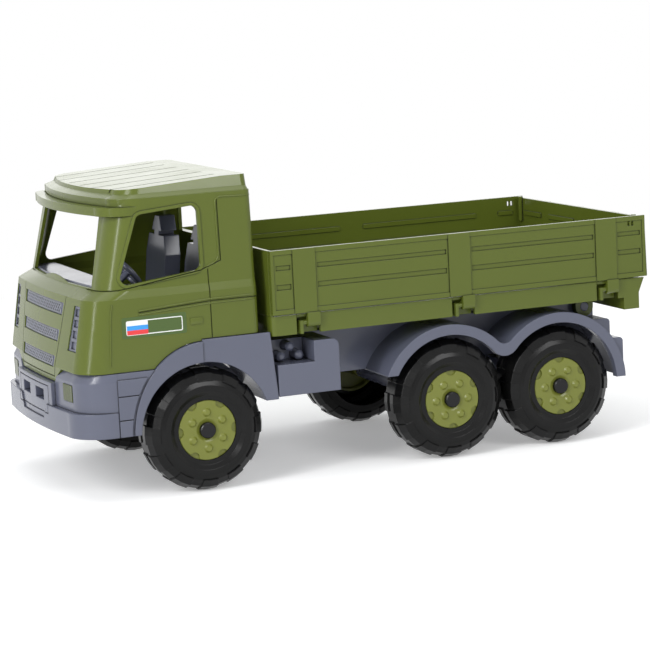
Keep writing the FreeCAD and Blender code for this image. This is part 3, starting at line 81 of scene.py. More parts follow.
def place(distance_mm: float) -> float:
    """X in metres of a place given in millimetres from the front axle."""
    return FRONT_AXLE_X + distance_mm * MM


# Node groups and materials


class NodePad:
    """A node tree with short calls for adding and linking nodes."""

    def __init__(self, tree: bpy.types.NodeTree) -> None:
        """Keep the tree that nodes are added to.

        Args:
            tree: The material's or group's node tree.
        """
        self.tree = tree

    def add(self, kind: str, **values: object) -> bpy.types.Node:
        """Add a node and set its properties and inputs.

        Args:
            kind: Blender's type name of the node.
            values: Properties of the node, or inputs by their names with spaces as underscores.

        Returns:
            The new node.
        """
        node = self.tree.nodes.new(kind)
        for name, value in values.items():
            if hasattr(node, name):
                setattr(node, name, value)
            else:
                node.inputs[name.replace("_", " ")].default_value = value
        return node

    def link(self, source: Socket, target: Socket) -> None:
        """Join an output socket to an input socket."""
        self.tree.links.new(source, target)

    def maths(self, operation: str, first: object, second: object = 0.0) -> Socket:
        """Add a Math node.

        Args:
            operation: The Math node's operation.
            first: A socket or a number.
            second: A socket or a number.

        Returns:
            The node's output socket.
        """
        node = self.add("ShaderNodeMath", operation=operation)
        for socket, value in zip(node.inputs, (first, second)):
            if isinstance(value, Socket):
                self.link(value, socket)
            else:
                socket.default_value = value
        return node.outputs[0]

    def scaled(self, colour: Socket, share: Socket) -> Socket:
        """Multiply a colour by a share.

        Args:
            colour: The colour's socket.
            share: The share's socket.

        Returns:
            The product's socket.
        """
        node = self.add("ShaderNodeVectorMath", operation="SCALE")
        self.link(colour, node.inputs[0])
        self.link(share, node.inputs["Scale"])
        return node.outputs[0]

    def ramp(self, value: Socket, low: float, high: float) -> Socket:
        """Add a soft step from 0 to 1.

        Args:
            value: The socket that the step reads.
            low: The value up to which the step is 0.
            high: The value from which it is 1.

        Returns:
            The step's socket.
        """
        node = self.add("ShaderNodeMapRange", interpolation_type="SMOOTHSTEP")
        node.inputs["From Min"].default_value = low
        node.inputs["From Max"].default_value = high
        self.link(value, node.inputs["Value"])
        return node.outputs[0]

    def blend(self, share: Socket, first: bpy.types.Node, second: bpy.types.Node,
              output: bpy.types.Node) -> None:
        """Send a blend of two shaders to the tree's output.

        Args:
            share: How much of the second shader there is.
            first: The first shader's node.
            second: The second shader's node.
            output: The tree's output node.
        """
        mixed = self.add("ShaderNodeMixShader")
        self.link(share, mixed.inputs[0])
        self.link(first.outputs[0], mixed.inputs[1])
        self.link(second.outputs[0], mixed.inputs[2])
        self.link(mixed.outputs[0], output.inputs["Surface"])

    def placed_group(self, tree: bpy.types.NodeTree, **values: object) -> bpy.types.Node:
        """Add a node group and set or link its inputs.

        Args:
            tree: The group.
            values: Its inputs by name with spaces as underscores, each a socket or a value.

        Returns:
            The group's node.
        """
        node = self.add("ShaderNodeGroup", node_tree=tree)
        for name, value in values.items():
            socket = node.inputs[name.replace("_", " ")]
            if isinstance(value, Socket):
                self.link(value, socket)
            else:
                socket.default_value = value
        return node

    def own_place(self) -> dict[str, Socket]:
        """Split the piece's own coordinates.

        Returns:
            X, Y and Z by letter.
        """
        axes = self.add("ShaderNodeSeparateXYZ")
        self.link(self.add("ShaderNodeTexCoord").outputs["Object"], axes.inputs[0])
        return {letter: axes.outputs[letter] for letter in "XYZ"}


class SurfaceGroup:
    """A shader node group with named inputs and outputs, made once for several materials."""

    kinds: dict[str, str] = {"Color": "NodeSocketColor", "Roughness": "NodeSocketFloat",
                             "Height": "NodeSocketFloat", "Normal": "NodeSocketVector"}

    def __init__(self, name: str, inputs: dict[str, object], outputs: tuple[str, ...]) -> None:
        """Make the group with its sockets and no other nodes.

        Args:
            name: The group's name.
            inputs: Default value of each input by name: a colour with its alpha, or a number.
            outputs: Names of the outputs.
        """
        self.tree = bpy.data.node_groups.new(name, "ShaderNodeTree")
        for title, value in inputs.items():
            kind = "NodeSocketColor" if isinstance(value, tuple) else "NodeSocketFloat"
            socket = self.tree.interface.new_socket(name=title, in_out="INPUT", socket_type=kind)
            socket.default_value = value
        for title in outputs:
            self.tree.interface.new_socket(name=title, in_out="OUTPUT", socket_type=self.kinds[title])
        self.pad = NodePad(self.tree)
        self.given = self.pad.add("NodeGroupInput").outputs
        self.result = self.pad.add("NodeGroupOutput").inputs

    def noise(self, stretch: Optional[Triple] = None, **values: float) -> Socket:
        """Add a noise on the piece's own coordinates.

        Args:
            stretch: How much it is drawn together along each axis.
            values: The noise's inputs.

        Returns:
            The noise's socket.
        """
        texture = self.pad.add("ShaderNodeTexNoise", **values)
        where = self.pad.add("ShaderNodeTexCoord").outputs["Object"]
        if stretch:
            mapping = self.pad.add("ShaderNodeMapping", Scale=stretch)
            self.pad.link(where, mapping.inputs["Vector"])
            where = mapping.outputs[0]
        self.pad.link(where, texture.inputs["Vector"])
        return texture.outputs["Fac"]

    def give(self, **sockets: Socket) -> bpy.types.NodeTree:
        """Link sockets to the outputs of those names.

        Args:
            sockets: The sockets by the outputs' names.

        Returns:
            The finished group.
        """
        for title, socket in sockets.items():
            self.pad.link(socket, self.result[title])
        return self.tree


@dataclass(frozen=True)
class MouldedSkin:
    """Flow marks, faint orange peel, handling wear and soft edges of a moulded plastic."""

    flow_stretch: Triple = (9.0, 22.0, 30.0)
    smear_scale: float = 30.0
    smear_middle: float = 0.45
    smear_depth: float = 0.14
    peel_scale: float = 420.0
    wave_scale: float = 24.0
    wave_height: float = 1.5
    edge_samples: int = 6

    def build(self) -> bpy.types.NodeTree:
        """Make the group.

        Returns:
            A group that gives a colour, a roughness, a height and the edges' normals.
        """
        skin = SurfaceGroup(
            "moulded_skin",
            {"Base": (0.2, 0.2, 0.2, 1), "Flow": 0.08, "Gloss": 0.3, "Peel": 0.5, "Edge Radius": 0.6 * MM,
             "Crisp Above": ABOVE_ALL},
            ("Color", "Roughness", "Height", "Normal"))
        maths = skin.pad.maths
        flow = skin.noise(self.flow_stretch, Scale=1.0, Detail=2.0, Roughness=0.4, Distortion=0.3)
        swing = maths("MULTIPLY", maths("SUBTRACT", flow, 0.5), 2.0)
        shade = maths("ADD", maths("MULTIPLY", swing, skin.given["Flow"]), 1.0)
        smear = skin.noise(Scale=self.smear_scale, Detail=2.0, Roughness=0.5)
        dull = maths("MULTIPLY", maths("SUBTRACT", smear, self.smear_middle), self.smear_depth)
        peel = skin.noise(Scale=self.peel_scale, Detail=2.0, Roughness=0.5)
        wave = skin.noise(Scale=self.wave_scale, Detail=0.0, Roughness=0.4)
        height = maths("ADD", maths("MULTIPLY", peel, skin.given["Peel"]),
                       maths("MULTIPLY", wave, self.wave_height))
        return skin.give(Color=skin.pad.scaled(skin.given["Base"], shade),
                         Roughness=maths("ADD", skin.given["Gloss"], dull),
                         Height=height, Normal=self.soft_edges(skin))

    def soft_edges(self, skin: SurfaceGroup) -> Socket:
        """Normals rounded at the edges below a height, and plain ones above it.

        Args:
            skin: The group.

        Returns:
            The normals' socket.
        """
        pad = skin.pad
        rounded = pad.add("ShaderNodeBevel", samples=self.edge_samples)
        pad.link(skin.given["Edge Radius"], rounded.inputs["Radius"])
        crisp = pad.maths("GREATER_THAN", pad.own_place()["Z"], skin.given["Crisp Above"])
        edges = pad.add("ShaderNodeMix", data_type="VECTOR")
        pad.link(crisp, edges.inputs["Factor"])
        pad.link(rounded.outputs[0], edges.inputs[MIX_VECTOR_A])
        pad.link(pad.add("ShaderNodeNewGeometry").outputs["Normal"], edges.inputs[MIX_VECTOR_B])
        return edges.outputs[MIX_VECTOR_RESULT]


@dataclass(frozen=True)
class CreaseShade:
    """Painted shade in the narrow grooves and panel lines of a moulding: a darker colour where ambient
    occlusion finds them shut, and a duller roughness there.
    """

    shut: float = 0.55
    clear: float = 0.92
    shade: float = 0.2
    dulling: float = 0.75
    samples: int = 8

    def build(self) -> bpy.types.NodeTree:
        """Make the group.

        Returns:
            A group that gives a colour darkened by painted shade, and a roughness.
        """
        group = SurfaceGroup(
            "crease_shade", {"Color": (0.2, 0.2, 0.2, 1), "Roughness": 0.3, "Reach": 1.6 * MM, "Open": 1.0},
            ("Color", "Roughness"))
        maths = group.pad.maths
        openness = group.pad.add("ShaderNodeAmbientOcclusion", samples=self.samples, only_local=True)
        group.pad.link(group.given["Reach"], openness.inputs["Distance"])
        share = maths("MINIMUM", group.pad.ramp(openness.outputs["AO"], self.shut, self.clear),
                      group.given["Open"])
        # Painted shade: the colour keeps this share, down to the shade value in shut creases.
        kept = maths("ADD", maths("MULTIPLY", share, 1.0 - self.shade), self.shade)
        dulled = maths("MULTIPLY", maths("SUBTRACT", 1.0, share), self.dulling)
        return group.give(Color=group.pad.scaled(group.given["Color"], kept),
                          Roughness=maths("ADD", group.given["Roughness"], dulled))


@dataclass(frozen=True)
class DrawMarks:
    """Lengthwise draw marks of a steel pin."""

    stretch: Triple = (2600.0, 30.0, 2600.0)
    brightest: float = 1.1
    roughness: float = 0.22

    def build(self) -> bpy.types.NodeTree:
        """Make the group.

        Returns:
            A group that gives a colour, a roughness and a height.
        """
        group = SurfaceGroup("drawn_metal", {"Base": (0.5, 0.5, 0.5, 1), "Marks": 0.2},
                             ("Color", "Roughness", "Height"))
        maths = group.pad.maths
        marks = group.noise(self.stretch, Scale=1.0, Detail=3.0, Roughness=0.7)
        depth = maths("MULTIPLY", marks, group.given["Marks"])
        shade = maths("SUBTRACT", self.brightest, depth)
        return group.give(Color=group.pad.scaled(group.given["Base"], shade),
                          Roughness=maths("ADD", depth, self.roughness), Height=depth)


@dataclass(frozen=True)
class RoofGrooveShade:
    """Painted shade along the grooves of the cab's roof: a band on each side of a groove's line that the
    crease shade darkens and dulls.
    """

    lines: tuple[float, ...] = (13.44 * MM, 40.57 * MM, 67.28 * MM)
    # Half width of each band of painted shade, from a groove's line.
    lip: float = 0.95 * MM
    rear: float = place(-26.0)
    front: float = place(56.0)

    def mask(self, pad: NodePad) -> Socket:
        """A mask that is 0 on the bands of painted shade along the grooves and 1 elsewhere.

        Args:
            pad: The material's tree.

        Returns:
            The mask's socket.
        """
        own = pad.own_place()
        across = pad.maths("ABSOLUTE", own["Y"])
        gaps = [pad.maths("ABSOLUTE", pad.maths("SUBTRACT", across, line)) for line in self.lines]
        nearest = gaps[0]
        for gap in gaps[1:]:
            nearest = pad.maths("MINIMUM", nearest, gap)
        elsewhere = pad.maths("GREATER_THAN", nearest, self.lip)
        for outside in (pad.maths("LESS_THAN", own["Z"], ROOF_EDGE_Z),
                        pad.maths("GREATER_THAN", own["X"], self.front),
                        pad.maths("LESS_THAN", own["X"], self.rear)):
            elsewhere = pad.maths("MAXIMUM", elsewhere, outside)
        return elsewhere


@dataclass(frozen=True)
class Effects:
    """The node groups that the materials share."""

    skin: bpy.types.NodeTree
    creases: bpy.types.NodeTree
    marks: bpy.types.NodeTree


@dataclass(frozen=True)
class Finish:
    """What every finish has: its name, its base colour and how its height shows."""

    name: str
    base: Triple
    bump: float = 0.06
    bump_depth: float = 0.1 * MM

    def start(self) -> tuple[bpy.types.Material, NodePad, bpy.types.Node]:
        """Make the material.

        Returns:
            The material, its pad and its Principled shader.
        """
        material = bpy.data.materials.new(self.name)
        material.use_nodes = True
        return material, NodePad(material.node_tree), material.node_tree.nodes["Principled BSDF"]

    def connect(self, pad: NodePad, shader: bpy.types.Node, colour: Socket, roughness: Socket,
                height: Socket, normal: Optional[Socket] = None) -> None:
        """Link a surface's colour, roughness and height to the shader.

        Args:
            pad: The material's tree.
            shader: The Principled shader.
            colour: The colour's socket.
            roughness: The roughness's socket.
            height: The height's socket.
            normal: The normals that the height stands on.
        """
        pad.link(colour, shader.inputs["Base Color"])
        pad.link(roughness, shader.inputs["Roughness"])
        bump = pad.add("ShaderNodeBump", Strength=self.bump, Distance=self.bump_depth)
        pad.link(height, bump.inputs["Height"])
        if normal:
            pad.link(normal, bump.inputs["Normal"])
        pad.link(bump.outputs[0], shader.inputs["Normal"])


@dataclass(frozen=True)
class Plastic(Finish):
    """A moulded plastic finish."""

    gloss: float = 0.3
    flow: float = 0.08
    peel: float = 0.5
    index: float = 1.4
    edge_radius: float = 0.6 * MM
    crisp_above: float = ABOVE_ALL
    crease_reach: float = 0.0
    grooves: Optional[RoofGrooveShade] = None

    def make(self, effects: Effects) -> bpy.types.Material:
        """Build the material.

        Args:
            effects: The shared node groups.

        Returns:
            The finished material.
        """
        material, pad, shader = self.start()
        shader.inputs["IOR"].default_value = self.index
        skin = pad.placed_group(
            effects.skin, Base=(*self.base, 1), Flow=self.flow, Gloss=self.gloss, Peel=self.peel,
            Edge_Radius=self.edge_radius, Crisp_Above=self.crisp_above).outputs
        seen = skin
        # Painted shade in creases, and on the roof's groove bands where the mask is 0.
        if self.crease_reach:
            clear_of_groove_shade = self.grooves.mask(pad) if self.grooves else 1.0
            seen = pad.placed_group(effects.creases, Color=skin["Color"], Roughness=skin["Roughness"],
                                    Reach=self.crease_reach, Open=clear_of_groove_shade).outputs
        self.connect(pad, shader, seen["Color"], seen["Roughness"], skin["Height"], skin["Normal"])
        return material


@dataclass(frozen=True)
class DrawnSteel(Finish):
    """The finish of the axle pins."""

    def make(self, effects: Effects) -> bpy.types.Material:
        """Build the material.

        Args:
            effects: The shared node groups.

        Returns:
            The finished material.
        """
        material, pad, shader = self.start()
        shader.inputs["Metallic"].default_value = 1.0
        marks = pad.placed_group(effects.marks, Base=(*self.base, 1)).outputs
        self.connect(pad, shader, marks["Color"], marks["Roughness"], marks["Height"])
        return material


class Finishes:
    """Every material of the toy, made once."""

    def __init__(self) -> None:
        """Build the groups and the materials."""
        effects = Effects(MouldedSkin().build(), CreaseShade().build(), DrawMarks().build())
        film = {"peel": 0.1, "edge_radius": 0.05 * MM}
        finishes = {
            # The olive and the blue-grey take painted crease shade; the olive also takes painted shade
            # along the roof's grooves.
            "olive": Plastic("olive_green_plastic", (0.100, 0.127, 0.017), gloss=0.2, flow=0.03,
                             edge_radius=0.45 * MM, crisp_above=ROOF_EDGE_Z, crease_reach=1.6 * MM,
                             grooves=RoofGrooveShade()),
            # Half of the olive: painted shade that offsets the stronger light on the front-facing lamps.
            "lamp": Plastic("lamp_olive_painted_shade", (0.050, 0.064, 0.011), gloss=0.26, flow=0.03),
            "hub": Plastic("hub_green_plastic", (0.180, 0.198, 0.033), gloss=0.24, flow=0.05),
            "blue_grey": Plastic("blue_grey_plastic", (0.106, 0.114, 0.159), gloss=0.22, flow=0.025,
                                 index=1.48, edge_radius=1.1 * MM, crease_reach=1.6 * MM),
            # Near black: painted shade under the grille's wires.
            "grille": Plastic("grille_painted_shade", (0.018, 0.019, 0.024), gloss=0.5, flow=0.05),
            "grille_wire": Plastic("pale_grille_wire", (0.27, 0.28, 0.32), gloss=0.35, flow=0.05,
                                   edge_radius=0.05 * MM),
            "tyre": Plastic("black_tyre_plastic", (0.004, 0.004, 0.004), gloss=0.22, flow=0.12, peel=1.0,
                            index=1.3, bump=0.12, edge_radius=0.7 * MM),
            "cap": Plastic("black_cap_plastic", (0.006, 0.006, 0.007), gloss=0.2, flow=0.05, index=1.34),
            "label_green": Plastic("label_green_film", (0.072, 0.118, 0.030), flow=0.02, **film),
            "label_white": Plastic("label_white_print", (0.85, 0.86, 0.84), flow=0.01, **film),
            "label_blue": Plastic("label_blue_print", (0.05, 0.33, 0.80), flow=0.01, **film),
            "label_red": Plastic("label_red_print", (0.78, 0.055, 0.06), flow=0.01, **film),
            "steel": DrawnSteel("bright_pin_steel", (0.55, 0.55, 0.56), bump=0.2, bump_depth=0.05 * MM),
        }
        self.made = {key: finish.make(effects) for key, finish in finishes.items()}

    def __getitem__(self, key: str) -> bpy.types.Material:
        """The material of that name."""
        return self.made[key]


# Modelling by hand


def deselect() -> None:
    """Leave nothing selected, in object mode."""
    if bpy.context.object and bpy.context.object.mode != "OBJECT":
        bpy.ops.object.mode_set(mode="OBJECT")
    bpy.ops.object.select_all(action="DESELECT")


def pick(obj: bpy.types.Object) -> None:
    """Make one object the active one and the only one selected.

    Args:
        obj: The object.
    """
    deselect()
    obj.select_set(True)
    bpy.context.view_layer.objects.active = obj


def select_faces(obj: bpy.types.Object, wanted: Callable[[bmesh.types.BMFace], bool]) -> None:
    """Select faces in edit mode by a test.

    Args:
        obj: The object in edit mode.
        wanted: Tells whether a face is to be selected.
    """
    mesh = bmesh.from_edit_mesh(obj.data)
    for face in mesh.faces:
        face.select_set(wanted(face))
    mesh.select_flush_mode()
    bmesh.update_edit_mesh(obj.data)


def select_points(obj: bpy.types.Object, wanted: Callable[[Vector], bool]) -> None:
    """Select vertices in edit mode by their place.

    Args:
        obj: The object in edit mode.
        wanted: Tells whether a vertex at that place is to be selected.
    """
    mesh = bmesh.from_edit_mesh(obj.data)
    for vertex in mesh.verts:
        vertex.select_set(wanted(vertex.co))
    mesh.select_flush_mode()
    bmesh.update_edit_mesh(obj.data)


def settle(obj: bpy.types.Object) -> None:
    """Move an object's place, turn and scale into its mesh."""
    pick(obj)
    bpy.ops.object.transform_apply(location=True, rotation=True, scale=True)


def apply_modifiers(obj: bpy.types.Object) -> None:
    """Apply every modifier of an object in order.

    Args:
        obj: The object.
    """
    pick(obj)
    for modifier in list(obj.modifiers):
        bpy.ops.object.modifier_apply(modifier=modifier.name)


def seat(obj: bpy.types.Object, name: str, body: str) -> bpy.types.Object:
    """Name a finished piece and let it ride on its body.

    Args:
        obj: The finished piece, with its place in its mesh.
        name: Its name.
        body: The body it moves with.

    Returns:
        The piece.
    """
    obj.name = name
    obj.data.name = name
    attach(obj, body)
    LOG.info("%s: %d faces on %s", name, len(obj.data.polygons), body)
    return obj


def dress(nodes: Iterable[str], material: bpy.types.Material) -> None:
    """Give CAD nodes a material.

    Args:
        nodes: Names of the nodes.
        material: The material for all their faces.
    """
    for name in nodes:
        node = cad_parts[name]
        node.data.materials.clear()
        node.data.materials.append(material)
        LOG.info("%s dressed in %s", name, material.name)


# Sub-assemblies


@dataclass
class Wheels:
    """The six wheels: tyres, hubs and hub caps on three steel axles."""

    axles: tuple[str, ...] = ("front", "middle", "rear")

    def build(self, finishes: Finishes) -> None:
        """Dress every wheel piece.

        Args:
            finishes: The toy's materials.
        """
        for axle in self.axles:
            dress([f"axle_{axle}"], finishes["steel"])
            for side in Side:
                flank = side.name.lower()
                dress([f"tyre_{axle}_{flank}"], finishes["tyre"])
                dress([f"hub_{axle}_{flank}"], finishes["hub"])
                dress([f"hub_cap_{axle}_{flank}"], finishes["cap"])


@dataclass
class Underbody:
    """The chassis, mudguards, side boxes and the bumper with its fenders."""

    nodes: tuple[str, ...] = ("chassis_frame", "mudguard_left", "mudguard_right", "front_bumper",
                              "side_box_left", "side_box_right")

    def build(self, finishes: Finishes) -> None:
        """Dress the blue-grey mouldings, and the lamps in a darker copy of the olive that paints shade on
        them.
        """
        dress(self.nodes, finishes["blue_grey"])
        dress(["headlamps"], finishes["lamp"])


@dataclass
class GrilleMesh:
    """The fine diamond mesh on the three slot plates of the cab's front, with painted shade under its
    wires.
    """

    slots: dict[str, tuple[float, float]] = field(default_factory=lambda: {
        "top": (136.6, 127.7), "middle": (117.4, 108.9), "bottom": (98.7, 90.6)})
    half_width: float = 48.2
    taper: float = 0.2
    side_margin: float = 5.0
    edge_margin: float = 1.3
    pitch: float = 2.9
    wire: float = 0.75
    proud_share: float = 1 / 3
    weave_angle: float = 45.0
    start_x: float = 110.0
    spare: float = 1.5

    def strip(self, name: str, top: float, bottom: float, finishes: Finishes) -> bpy.types.Object:
        """Model the mesh of one slot.

        Args:
            name: Which slot it is.
            top: Height of the slot's upper edge in millimetres.
            bottom: Height of its lower edge.
            finishes: The toy's materials.

        Returns:
            The finished mesh piece, pale wires over a dark sheet of painted shade.
        """
        deselect()
        cells = int(2 * self.half_width * self.spare / self.pitch)
        middle = (top + bottom) / 2
        highest = self.slots["top"][0]
        bpy.ops.mesh.primitive_grid_add(x_subdivisions=cells, y_subdivisions=cells,
                                        size=cells * self.pitch * MM)
        sheet = bpy.context.object
        sheet.rotation_euler = (0, 0, math.radians(self.weave_angle))
        settle(sheet)
        sheet.rotation_euler = (QUARTER_TURN, 0, QUARTER_TURN)
        sheet.location = (place(self.start_x), 0, middle * MM)
        settle(sheet)
        bpy.ops.object.mode_set(mode="EDIT")
        half = (self.half_width - (highest - middle) * self.taper - self.side_margin) * MM
        cuts = (((0, half, 0), (0, 1, 0)), ((0, -half, 0), (0, -1, 0)),
                ((0, 0, (top - self.edge_margin) * MM), (0, 0, 1)),
                ((0, 0, (bottom + self.edge_margin) * MM), (0, 0, -1)))
        for point, normal in cuts:
            bpy.ops.mesh.select_all(action="SELECT")
            bpy.ops.mesh.bisect(plane_co=point, plane_no=normal, clear_outer=True)
        bpy.ops.object.mode_set(mode="OBJECT")
        lay = sheet.modifiers.new("lay_on_plate", "SHRINKWRAP")
        lay.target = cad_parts["grille_inserts"]
        lay.wrap_method = "PROJECT"
        lay.use_project_x = True
        lay.use_negative_direction = True
        lay.use_positive_direction = True
        lay.offset = self.wire * self.proud_share * MM
        lay.wrap_mode = "ABOVE_SURFACE"
        apply_modifiers(sheet)
        # A near-black copy of the grid under the wires: painted shade between them.
        bpy.ops.object.duplicate()
        shade_sheet = bpy.context.object
        shade_sheet.data.materials.append(finishes["grille_wire"])
        shade_sheet.data.materials.append(finishes["grille"])
        for face in shade_sheet.data.polygons:
            face.material_index = 1
        wires = sheet.modifiers.new("wires", "WIREFRAME")
        wires.thickness = self.wire * MM
        wires.use_boundary = True
        wires.use_even_offset = False
        apply_modifiers(sheet)
        sheet.data.materials.append(finishes["grille_wire"])
        pick(sheet)
        shade_sheet.select_set(True)
        bpy.ops.object.join()
        return seat(sheet, f"grille_mesh_{name}", "chassis")

    def build(self, finishes: Finishes) -> None:
        """Model the three strips."""
        for name, (top, bottom) in self.slots.items():
            self.strip(name, top, bottom, finishes)


@dataclass
class DoorLabel:
    """The printed label on a door: green film, a thin white outline and a striped patch."""

    rear: float = 10.4
    front: float = 57.4
    bottom: float = 114.1
    top: float = 128.7
    outline_rear: float = 13.3
    outline_front: float = 54.4
    outline_bottom: float = 116.0
    outline_top: float = 126.2
    outline_width: float = 0.65
    patch_rear: float = 38.6
    patch_front: float = 53.9
    corner: float = 1.2
    corner_segments: int = 5
    film: float = 0.12
    print_step: float = 0.05
    stripes: tuple[str, ...] = ("label_white", "label_blue", "label_red")

    def panel(self, bounds: tuple[float, float, float, float], lift: float, side: Side, corner: float,
              rows: int = 1) -> bpy.types.Object:
        """Model one thin rounded sheet on the cab's side.

        Args:
            bounds: Rear, front, bottom and top in millimetres.
            lift: How far its back lies off the cab, in millimetres.
            side: The flank it is on.
            corner: Radius of its corners in millimetres.
            rows: How many rows of faces it has.

        Returns:
            The sheet, with its place in its mesh.
        """
        rear, front, bottom, top = bounds
        width, height = (front - rear) * MM, (top - bottom) * MM
        deselect()
        bpy.ops.mesh.primitive_grid_add(x_subdivisions=1, y_subdivisions=rows, size=1)
        sheet = bpy.context.object
        sheet.scale = (width, height, 1)
        settle(sheet)
        bpy.ops.object.mode_set(mode="EDIT")
        select_points(sheet, lambda co: abs(co.x) > width / 2 - NEAR and abs(co.y) > height / 2 - NEAR)
        bpy.ops.mesh.bevel(offset=corner * MM, segments=self.corner_segments, affect="VERTICES")
        bpy.ops.object.mode_set(mode="OBJECT")
        sheet.rotation_euler = (QUARTER_TURN, 0, HALF_TURN if side is Side.LEFT else 0)
        sheet.location = (place((rear + front) / 2), side.value * (CAB_SIDE_Y + lift * MM),
                          (bottom + top) / 2 * MM)
        settle(sheet)
        return sheet

    def build_side(self, side: Side, finishes: Finishes) -> None:
        """Model the label of one flank.

        Args:
            side: The flank.
            finishes: The toy's materials.
        """
        low, high = self.outline_bottom, self.outline_top
        film = self.panel((self.rear, self.front, self.bottom, self.top), 0.0, side, self.corner)
        film.data.materials.append(finishes["label_green"])
        outline = self.panel((self.outline_rear, self.outline_front, low, high), self.film, side,
                             self.corner)
        outline.data.materials.append(finishes["label_white"])
        pick(outline)
        bpy.ops.object.mode_set(mode="EDIT")
        bpy.ops.mesh.select_all(action="SELECT")
        bpy.ops.mesh.inset(thickness=self.outline_width * MM)
        bpy.ops.mesh.delete(type="FACE")
        bpy.ops.object.mode_set(mode="OBJECT")
        inset = self.outline_width / 2
        rows = len(self.stripes)
        patch = self.panel((self.patch_rear, self.patch_front, low + inset, high - inset),
                           self.film + self.print_step / 2, side, self.corner / 2, rows)
        for key in self.stripes:
            patch.data.materials.append(finishes[key])
        for face in patch.data.polygons:
            share = (high - face.center.z / MM) / (high - low)
            face.material_index = min(rows - 1, int(share * rows))
        for sheet, thickness in ((film, self.film), (outline, self.print_step), (patch, self.print_step)):
            solid = sheet.modifiers.new("thickness", "SOLIDIFY")
            solid.thickness = thickness * MM
            solid.offset = 1
            apply_modifiers(sheet)
        pick(film)
        outline.select_set(True)
        patch.select_set(True)
        bpy.ops.object.join()
        seat(film, f"door_label_{side.name.lower()}", "chassis")

    def build(self, finishes: Finishes) -> None:
        """Model the label on both doors."""
        for side in Side:
            self.build_side(side, finishes)


@dataclass
class DoorHandle:
    """The moulded pull on each door: a shallow frame around a sunk middle."""

    rear: float = -1.6
    front: float = 7.8
    bottom: float = 119.2
    top: float = 123.8
    rim: float = 0.9
    height: float = 0.7
    sunk_share: float = 0.75
    softness: float = 0.22
    softness_segments: int = 2
    smooth_angle: float = 40.0

    def build_side(self, side: Side, finishes: Finishes) -> None:
        """Model the pull of one flank.

        Args:
            side: The flank.
            finishes: The toy's materials.
        """
        deselect()
        out = side.value
        centre = (place((self.rear + self.front) / 2), out * (CAB_SIDE_Y + self.height / 2 * MM),
                  (self.bottom + self.top) / 2 * MM)
        bpy.ops.mesh.primitive_cube_add(size=1, location=centre)
        pull = bpy.context.object
        pull.scale = ((self.front - self.rear) * MM, self.height * MM, (self.top - self.bottom) * MM)
        settle(pull)
        bpy.ops.object.mode_set(mode="EDIT")
        select_faces(pull, lambda face: face.normal.y * out > FACING_SHARE)
        bpy.ops.mesh.inset(thickness=self.rim * MM)
        bpy.ops.transform.translate(value=(0, -out * self.height * self.sunk_share * MM, 0))
        bpy.ops.object.mode_set(mode="OBJECT")
        soften = pull.modifiers.new("soft_edges", "BEVEL")
        soften.width = self.softness * MM
        soften.segments = self.softness_segments
        apply_modifiers(pull)
        bpy.ops.object.shade_smooth_by_angle(angle=math.radians(self.smooth_angle))
        pull.data.materials.append(finishes["olive"])
        seat(pull, f"door_pull_{side.name.lower()}", "chassis")

    def build(self, finishes: Finishes) -> None:
        """Model the pull on both doors."""
        for side in Side:
            self.build_side(side, finishes)


@dataclass
class CabBeads:
    """The fine raised beads on the cab's flanks, each a run of (x, z) places in millimetres."""

    runs: dict[str, tuple[tuple[float, float], ...]] = field(default_factory=lambda: {
        "door": ((-44.0, 205.4), (-20.2, 206.2), (-17.6, 205.0), (-16.6, 202.4), (-16.6, 165.4),
                 (-15.0, 162.2), (-12.0, 160.4), (-7.0, 158.6)),
        "crease_upper": ((45.0, 132.4), (-6.5, 136.0), (-44.0, 136.2)),
        "crease_lower": ((45.0, 129.8), (-6.5, 132.9), (-44.0, 133.2)),
        "corner": ((63.8, 138.5), (65.4, 127.0), (67.2, 96.0)),
    })
    radius: float = 0.6
    proud: float = 0.1
    step: float = 3.0
    roundness: int = 2
    start_y: float = 130.0
    skin_y: float = 80.0
    smooth_angle: float = 60.0

    def trace(self, run: tuple[tuple[float, float], ...], side: Side) -> list[Vector]:
        """Follow a run over the cab's skin.

        Args:
            run: The run's corners in millimetres.
            side: The flank it is on.

        Returns:
            Places on the skin, a step apart.
        """
        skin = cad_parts["cab_shell"]
        outwards = Vector((0, side.value, 0))
        places = []
        for (x0, z0), (x1, z1) in zip(run, run[1:]):
            count = max(1, round(math.hypot(x1 - x0, z1 - z0) / self.step))
            last = run[-1] == (x1, z1)
            for index in range(count + last):
                share = index / count
                start = Vector((place(x0 + (x1 - x0) * share), 0, (z0 + (z1 - z0) * share) * MM))
                hit, spot, _, _ = skin.ray_cast(start + outwards * self.start_y * MM, -outwards)
                if hit and abs(spot.y) > self.skin_y * MM:
                    places.append(spot + outwards * self.proud * MM)
        return places

    def lay(self, name: str, side: Side, finishes: Finishes) -> None:
        """Model one bead on one flank.

        Args:
            name: The run's name.
            side: The flank.
            finishes: The toy's materials.
        """
        places = self.trace(self.runs[name], side)
        deselect()
        bpy.ops.curve.primitive_nurbs_path_add()
        bead = bpy.context.object
        bead.data.splines.clear()
        spline = bead.data.splines.new("POLY")
        spline.points.add(len(places) - 1)
        for point, spot in zip(spline.points, places):
            point.co = (*spot, 1)
        bead.data.bevel_depth = self.radius * MM
        bead.data.bevel_resolution = self.roundness
        bead.data.use_fill_caps = True
        bpy.ops.object.convert(target="MESH")
        bead = bpy.context.object
        bpy.ops.object.shade_smooth_by_angle(angle=math.radians(self.smooth_angle))
        bead.data.materials.append(finishes["olive"])
        seat(bead, f"cab_bead_{name}_{side.name.lower()}", "chassis")

    def build(self, finishes: Finishes) -> None:
        """Model every bead on both flanks.

        Args:
            finishes: The toy's materials.
        """
        for side in Side:
            for name in self.runs:
                self.lay(name, side, finishes)


